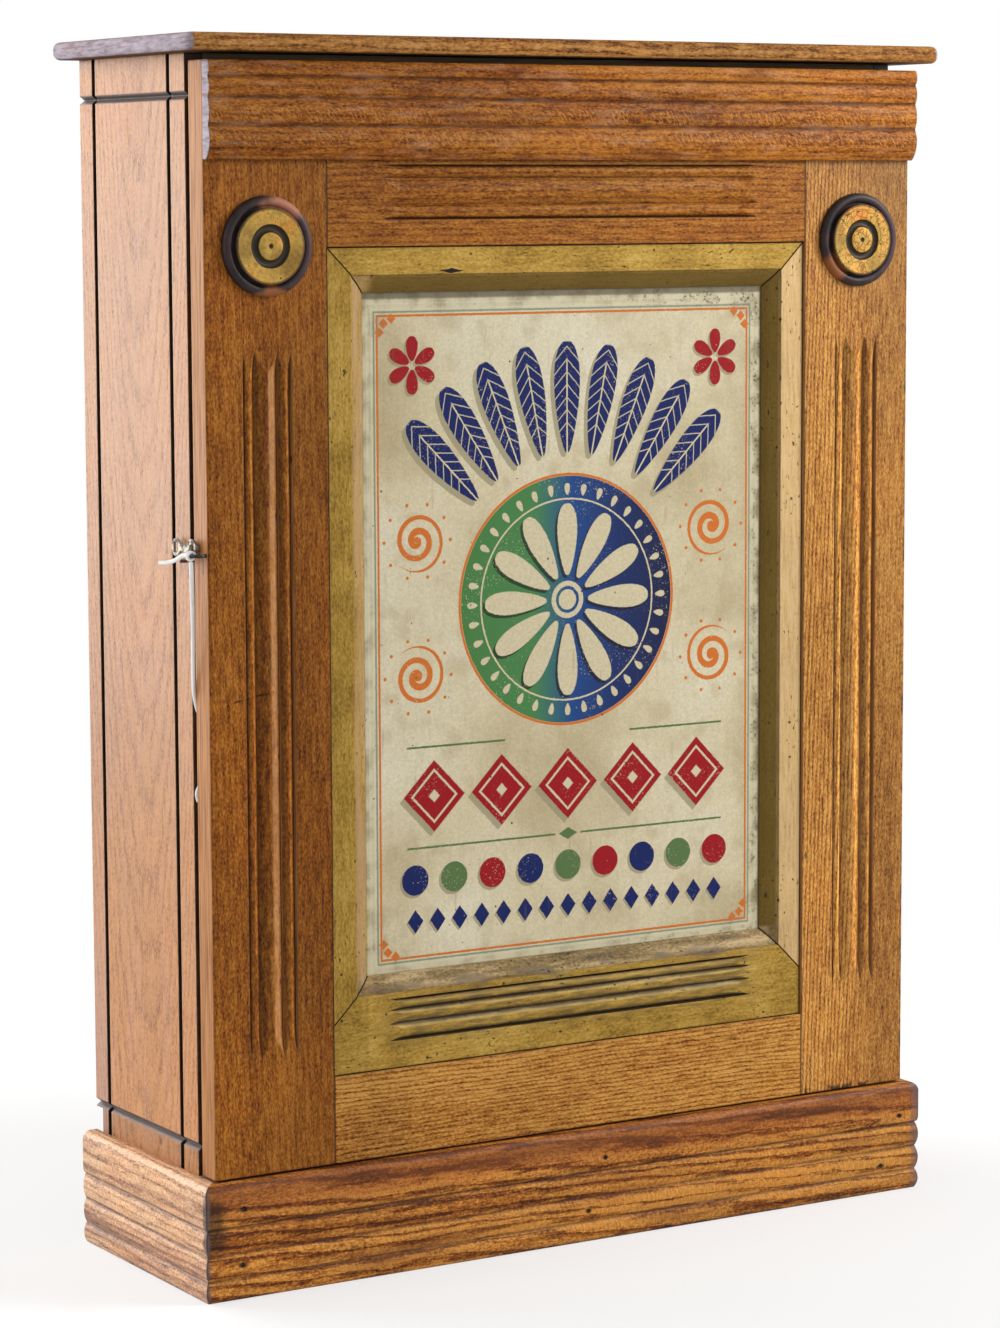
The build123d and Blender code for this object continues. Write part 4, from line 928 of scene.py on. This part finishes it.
def repeated(x, gap, last):
    """How far x is from the nearest of a row's places, a gap apart from -last to last."""
    return x - (x.most(-last).least(last) / gap + 0.5).floor() * gap


def lozenge(x, z, wide, tall):
    """The distances across and up, each over its half size, added: less than 1 inside a lozenge."""
    return (x / wide).abs() + (z / tall).abs()


def fan(x, z):
    """The feathers: the upper petals of a wheel of thirty-two."""
    return petals(x, z, 32, 92, 163, 12.5, spread=0.884)


def gems(x, z):
    """Five large lozenges in a row."""
    return lozenge(repeated(x, GEM_GAP, 2 * GEM_GAP), z - GEM_UP, 22, 22.5)


def small_gems(x, z):
    """Fifteen small lozenges in a row."""
    return lozenge(repeated(x, SMALL_GEM_GAP, ROW_END), z - SMALL_GEM_UP, 5.6, 7.5).step(1.05, 0.95)


def swatches(x, z):
    """Nine round samples of dye in a row."""
    across, up = repeated(x, SWATCH_GAP, ROW_END), z - SWATCH_UP
    return (across * across + up * up).sqrt().step(SWATCH_RADIUS + 0.2, SWATCH_RADIUS - 0.2)


def blossom(x, z):
    """A blossom of six petals in each upper corner."""
    return petals(x.abs() - 112, z - 150, 6, 2.5, 18, 5.6)[0]


def volute(x, z):
    """A spiral: the band where radius over pitch less the turn is near a half, thick inside, thin outside.

    A ring of ten small dots stands round it, and a larger one in its middle.
    """
    across, up = x.abs() - 109, z.abs() - 42
    r = (across * across + up * up).sqrt()
    turn = up.angle(across) / (2 * math.pi)
    band = ((r / 8.5 - turn).frac() - 0.5).abs()
    thick = 0.34 - r * 0.012
    spiral = (band - thick).step(0.03, -0.03) * r.step(19.5, 19.1) * r.step(1.6, 2.2)
    beside, beyond = turn.in_cell(0.1) * (2 * math.pi) * r, r - 23.5
    dots = (beside * beside + beyond * beyond).sqrt()
    return spiral.most(r.step(2.9, 2.5)).most(dots.step(1.3, 0.9))


def print_figures(g, colour, x, z):
    """Feathers, lozenges, rules, swatches, blossoms and spirals, over grey figures that are shifted down."""
    rays, offset, t = fan(x, z)
    shadow = fan(x + 2.8, z + 2.8)[0].most(gems(x + 2.8, z + 2.8).step(1.02, 0.98))
    shadow = shadow.most(swatches(x + 1.6, z + 1.6)).most(small_gems(x + 1.2, z + 1.2))
    shadow = shadow.most(blossom(x + 1.4, z + 1.4))
    colour = g.mix(shadow * 0.85, colour, SHADE)
    rib = offset.near(0, 0.35, 0.3) * t.step(0.86, 0.80)
    barb = (t * 9 + offset.abs() * 0.13).frac().near(0.5, 0.04, 0.05) * t.step(0.15, 0.2)
    colour = g.mix(rays, colour, g.mix(rib.most(barb * 0.8), NAVY, CREAM))
    gem = gems(x, z)
    inlay = gem.near(0.72, 0.03, 0.03).most(gem.step(0.2, 0.16))
    colour = g.mix(gem.step(1.02, 0.98), colour, g.mix(inlay, CRIMSON, CREAM))
    rule = z.near(RULES[0], 0.5, 0.3).most(z.near(RULES[1], 0.5, 0.3) * x.abs().step(46, 47))
    rule = rule * x.abs().step(118, 117) * x.abs().step(9, 10)
    knot = lozenge(x, z - RULES[0], 7, 3.8).step(1.05, 0.95)
    colour = g.mix(rule.most(knot), colour, GREEN)
    order = ((x / SWATCH_GAP + 0.5).floor() / 3 + 0.01).frac()
    dye = g.mix(order.step(0.5, 0.51), g.mix(order.step(0.2, 0.21), GREEN, CRIMSON), NAVY)
    colour = g.mix(swatches(x, z), colour, dye)
    colour = g.mix(small_gems(x, z), colour, NAVY)
    colour = g.mix(blossom(x, z), colour, CRIMSON)
    return g.mix(volute(x, z), colour, ORANGE)


def print_medallion(g, colour, x, z, stipple):
    """A round field from green to navy, with a pale flower, its shadow, a ring of buds and a rim."""
    r = (x * x + z * z).sqrt()
    field = g.ramp(x / (2 * MEDALLION) + 0.5, (0.0, (0.060, 0.185, 0.050)), (0.34, (0.060, 0.200, 0.065)),
                   (0.52, (0.014, 0.060, 0.210)), (0.74, (0.011, 0.026, 0.110)), (1.0, (0.010, 0.012, 0.045)))
    flower = petals(x, z, 12, 15, 61, 9.6)[0]
    flower_shade = petals(x + 1.8, z + 1.8, 12, 15, 61, 9.6)[0]
    buds = petals(x, z, 36, 66, 73.5, 2.6)[0]
    eye = r.step(12, 11.6) * (1 - r.near(7.5, 0.9, 0.3))
    pale = g.shade(CREAM, 0.72 + stipple * 0.5)
    field = g.mix(flower_shade * 0.8, field, BLACK)
    field = g.mix(flower.most(eye).most(buds).most(r.near(63.6, 0.4, 0.3)), field, pale)
    colour = g.mix(r.step(MEDALLION + 0.2, MEDALLION - 0.2), colour, field)
    return g.mix(r.near(MEDALLION + 1, 0.7, 0.3), colour, ORANGE)


def print_border(g, colour, side, rise):
    """The pale margin, a dark and an orange line round the sign, and three small lozenges in each corner.

    side and rise are the distances past the orange line, across and up.
    """
    out = side.most(rise)
    margin_cream, line_green = (0.60, 0.545, 0.360), (0.13, 0.20, 0.14)
    colour = g.mix(out.step(0.8, 1.4) * 0.75, colour, margin_cream)
    colour = g.mix(out.near(2.3, 0.4, 0.4) * 0.75, colour, line_green)
    colour = g.mix(out.near(0, 0.55, 0.35), colour, ORANGE)
    spike = ((side + 4.6).abs() + (rise + 4.6).abs()).step(3.6, 3.0)
    spike = spike.most(((side + 1.6).abs() * 0.9 + (rise + 10).abs()).step(3.4, 2.8))
    spike = spike.most(((rise + 1.6).abs() * 0.9 + (side + 10).abs()).step(3.4, 2.8))
    return g.mix(spike, colour, ORANGE)


def sign_print():
    """Enamelled tin with a generic trade pattern: a feather fan, a dye medallion, lozenges and swatches.

    Every figure is drawn from distances in millimetres. Most are drawn twice, the first time shifted down and
    left in grey, as printed signs shade their figures. Grime, foxing, flakes and rust lie over the print.
    """
    g = Graph("printed_tin")
    fox_brown, edge_grime, corner_grime = (0.43, 0.34, 0.195), (0.22, 0.17, 0.095), (0.24, 0.175, 0.095)
    ripple_cream, rim_dark, drag_brown = (0.66, 0.62, 0.48), (0.06, 0.045, 0.022), (0.17, 0.13, 0.075)
    pepper_black, right_brown, rust_brown = (0.070, 0.055, 0.025), (0.20, 0.160, 0.070), (0.035, 0.022, 0.012)
    ragged = g.noise(g.place, scale=420, detail=2) - 0.5
    right, _, up = g.millimetres()
    x, z = right + ragged * 0.7, up - SIGN_MIDDLE + ragged * 0.7
    stain = g.noise(g.place, scale=9, detail=5)
    stipple = g.noise(g.place, scale=620, detail=3)
    warp = g.noise(g.point(g.x * 260, 0.0, g.z * 30), detail=2)
    colour = g.ramp(stain, (0.36, (0.47, 0.385, 0.225)), (0.50, CREAM), (0.68, (0.68, 0.62, 0.46)))
    colour = g.shade(colour, 0.70 + stipple * 0.46 + warp * 0.12)
    foxing = g.noise(g.place, scale=55, detail=5)
    colour = g.mix(foxing.step(0.50, 0.68) * 0.40, colour, fox_brown)
    colour = print_figures(g, colour, x, z)
    colour = print_medallion(g, colour, x, z, stipple)
    side, rise = x.abs() - BORDER_HALF, (z - BORDER_UP).abs() - BORDER_RISE
    out = side.most(rise)
    colour = print_border(g, colour, side, rise)

    flake = g.noise(g.place, scale=900, detail=2).step(0.62, 0.70)
    flake = flake * g.noise(g.place, scale=30, detail=2).step(0.45, 0.65)
    colour = g.mix(flake * 0.65, colour, g.shade(CREAM, 0.9))
    colour = g.mix(g.specks(300, 0.15, 0.10) * 0.6, colour, CREAM)
    dirty = g.noise(g.place, scale=70, detail=5)
    colour = g.mix(out.step(1, 9) * dirty.step(0.42, 0.66) * 0.50, colour, edge_grime)
    corners = (side.step(-34, 4) * rise.step(-60, 6)).most(out.step(-9, 7) * 0.45)
    colour = g.mix(corners * (dirty + ragged * 0.25).step(0.47, 0.64) * 0.38, colour, corner_grime)
    margin = out.step(0.8, 1.4)
    ripple = (out * 1.9).sin()
    colour = g.mix(ripple.step(0.4, 1.0) * margin * 0.35, colour, ripple_cream)
    colour = g.mix(out.step(9.3, 11) * 0.75, colour, rim_dark)
    drag = g.noise(g.point(g.x * 330, 0.0, g.z * 34), detail=4)
    colour = g.mix(drag.step(0.60, 0.74) * (dirty + 0.1).step(0.45, 0.7) * 0.30, colour, drag_brown)
    pepper = g.noise(g.place, scale=480, detail=3).step(0.55, 0.64) * dirty.step(0.40, 0.55)
    grimy = out.step(0, 7) * (right.step(0, 135) * (z.step(60, 150) * 0.4 + 0.6) + 0.10).least(0.9)
    colour = g.mix(pepper * grimy, colour, pepper_black)
    right_edge = right.step(138, 146) * (dirty - 0.1).step(0.30, 0.50)
    colour = g.mix(right_edge * 0.55, colour, right_brown)
    freckle = g.noise(g.place, scale=330, detail=3) + (stain - 0.5) * 0.25
    rust = freckle.step(0.745, 0.79).most(g.specks(75, 0.07, 0.28))
    colour = g.mix(rust * 0.85, colour, rust_brown)
    height = stipple * 0.4 + ripple * margin * 0.35 - rust * 0.5
    return g.finish(Base_Color=colour, Roughness=0.36 + stain * 0.2 + rust * 0.2,
                    Specular_IOR_Level=0.13, Normal=g.bump(height, 0.25 * MM, 0.4))


dress(sign_print(), "tin_panel")


# Board, metals, cotton

def pulp():
    """Grey-brown pulp board behind the sign, with fibres and soft stains."""
    g = Graph("pulp_board")
    fleck_brown = (0.13, 0.085, 0.05)
    fibre = g.noise(g.place, scale=700, detail=3)
    tide = g.noise(g.place, scale=6, detail=5)
    colour = g.ramp(tide, (0.35, (0.205, 0.150, 0.098)), (0.55, (0.265, 0.200, 0.132)),
                    (0.75, (0.300, 0.235, 0.160)))
    fleck = g.noise(g.point(g.x * 260, g.y * 260, g.z * 90), detail=3).step(0.62, 0.74)
    colour = g.mix(fleck * 0.35, colour, fleck_brown)
    return g.finish(Base_Color=g.shade(colour, 0.8 + fibre * 0.4), Roughness=0.9, Specular_IOR_Level=0.2,
                    Normal=g.bump(fibre, 0.3 * MM, 0.4))


def old_metal(name, clean, stained, share, roughness, metallic=0.9):
    """Handled metal: bare on its corners and stained in patches, which are rougher and less like metal."""
    g = Graph(name)
    grime = (0.02, 0.014, 0.010)
    patch = g.noise(g.place, scale=210, detail=4)
    fine = g.noise(g.place, scale=1300, detail=2)
    rounded, edge = g.corner(0.35 * MM)
    cover = (patch + (fine - 0.5) * 0.3).step(0.62 - share * 0.4, 0.75 - share * 0.4)
    cover = cover * (edge * 4).step(0.9, 0.2)
    colour = g.shade(g.mix(cover, clean, stained), 0.85 + fine * 0.3)
    colour = g.mix(g.hollow(2.5 * MM).step(0.25, 0.95) * 0.7, colour, grime)
    normal = g.bump(patch * 0.5 + fine * 0.3 + cover * 0.4, 0.12 * MM, 0.5, rounded)
    return g.finish(Base_Color=colour, Metallic=metallic * (1 - cover * 0.5),
                    Roughness=roughness + cover * 0.25, Normal=normal)


def cotton():
    """White cotton: fine fibres, soft grey soil in places, and a sheen of loose hairs."""
    g = Graph("cotton")
    fibre = g.noise(g.place, scale=2600, detail=2)
    soil = g.noise(g.place, scale=60, detail=3)
    colour = g.ramp(soil, (0.35, (0.82, 0.81, 0.79)), (0.55, (0.90, 0.895, 0.885)))
    colour = g.shade(colour, 0.93 + fibre * 0.12)
    return g.finish(Base_Color=colour, Roughness=0.9, Sheen_Weight=0.3, Sheen_Roughness=0.5,
                    Normal=g.bump(fibre, 0.15 * MM, 0.4))


brass = old_metal("brass_hinge", (0.50, 0.34, 0.12), (0.13, 0.085, 0.035), 0.5, 0.34)
steel = old_metal("steel", (0.44, 0.395, 0.32), (0.105, 0.075, 0.055), 0.42, 0.50, metallic=0.55)
iron = old_metal("black_iron", (0.12, 0.115, 0.11), (0.025, 0.018, 0.015), 0.8, 0.5)
cotton_yarn = cotton()
dress(pulp(), "backing_board")
for level in ("upper", "lower"):
    dress(brass, *(f"hinge_{level}_{part}" for part in ("case_leaf", "door_leaf", "pin")))
dress(brass, "hinge_screws_case", "hinge_screws_door")
dress(steel, "catch_lever", "catch_screw", "catch_washer", "keeper_pin", "slab_screws")
dress(iron, "iron_hook", "base_nails")


def tie_string():
    """The string: two free ends laid up of three strands, and the turns round the hook's arm between them."""
    for name, route, side, node, lay, taper in (
            ("string_tail_yarn", tail_route, (1, 0, 0), "string_tail", "hanging", 0.2),
            ("string_short_yarn", short_end_route, (0, 0, 1), "string_short_end", "loose", 0.1)):
        line, distance = evenly(smooth_line(name, route), 0.35 * MM)
        piece = mesh_piece(name, strands(line, distance, side, taper), cotton_yarn, "door")
        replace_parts(piece, node)
    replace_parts(mesh_piece("string_turns", knot_turns(), cotton_yarn, "door"), "string_knot")


tie_string()


# Stage

FLOOR_HALF, FLOOR_DROP = 6, 0.0002
WHITE = (1.0, 1.0, 1.0)


def soft_light(name, place, target, size, power):
    """A square area lamp at a place, turned towards a target."""
    data = bpy.data.lights.new(name, "AREA")
    data.size = size
    data.energy = power
    lamp = bpy.data.objects.new(name, data)
    lamp.location = place
    lamp.rotation_euler = (Vector(target) - Vector(place)).to_track_quat("-Z", "Y").to_euler()
    bpy.context.scene.collection.objects.link(lamp)


def seen_directly(g):
    """1 where the camera, or a mirror or glass in front of it, looks at a surface, else 0."""
    flags = [g.add("LightPath", output=f"Is {kind} Ray") for kind in ("Camera", "Glossy", "Transmission")]
    return flags[0].most(flags[1]).most(flags[2])


def floor_white():
    """A white floor that keeps the cabinet's shadow near it, and turns pure white further off."""
    g = Graph("floor_white")
    as_light_source, as_seen = (0.78, 0.78, 0.78), (0.42, 0.42, 0.42)
    seen = seen_directly(g)
    paint = g.add("BsdfDiffuse", None, {"Color": g.mix(seen, as_light_source, as_seen)})
    away = (g.x * g.x + g.y * g.y).sqrt()
    glow = g.add("Emission", None, {"Color": WHITE, "Strength": seen * (0.54 + away.step(0.40, 0.85) * 0.05)})
    near = g.add("AddShader", None, {0: paint, 1: glow})
    plain = g.add("Emission", None, {"Color": WHITE, "Strength": 1.0})
    fade = away.step(0.70, 1.35) * seen
    g.add("OutputMaterial", None, {"Surface": g.add("MixShader", None, {0: fade, 1: near, 2: plain})})
    return g.owner


def stage():
    """A wide white floor just under the cabinet, and a white surround that lights it less than it looks."""
    mesh = bpy.data.meshes.new("floor")
    corners = [(x * FLOOR_HALF, y * FLOOR_HALF, -FLOOR_DROP) for x, y in ((-1, -1), (1, -1), (1, 1), (-1, 1))]
    mesh.from_pydata(corners, [], [(0, 1, 2, 3)])
    mesh.materials.append(floor_white())
    floor = bpy.data.objects.new("floor", mesh)
    bpy.context.scene.collection.objects.link(floor)

    world = bpy.data.worlds.new("studio")
    bpy.context.scene.world = world
    g = Graph("studio", world)
    sky = g.add("Background", None, {"Color": WHITE, "Strength": 0.40 + seen_directly(g) * 0.60})
    g.add("OutputWorld", None, {"Surface": sky})


stage()
soft_light("rear_left_softbox", (-1.10, 1.60, 1.02), (-0.26, 0, 0.5), 2.0, 45)
soft_light("left_lamp", (-2.0, 0.1, 1.3), (-0.26, 0, 0.4), 1.0, 11)
soft_light("right_softbox", (1.75, -1.95, 1.1), (0.1, 0, 0.4), 1.0, 8)
soft_light("raking_lamp", (1.15, -0.85, 1.15), (0.12, -0.08, 0.42), 0.6, 18.5)
bpy.context.scene.view_settings.view_transform = "Standard"
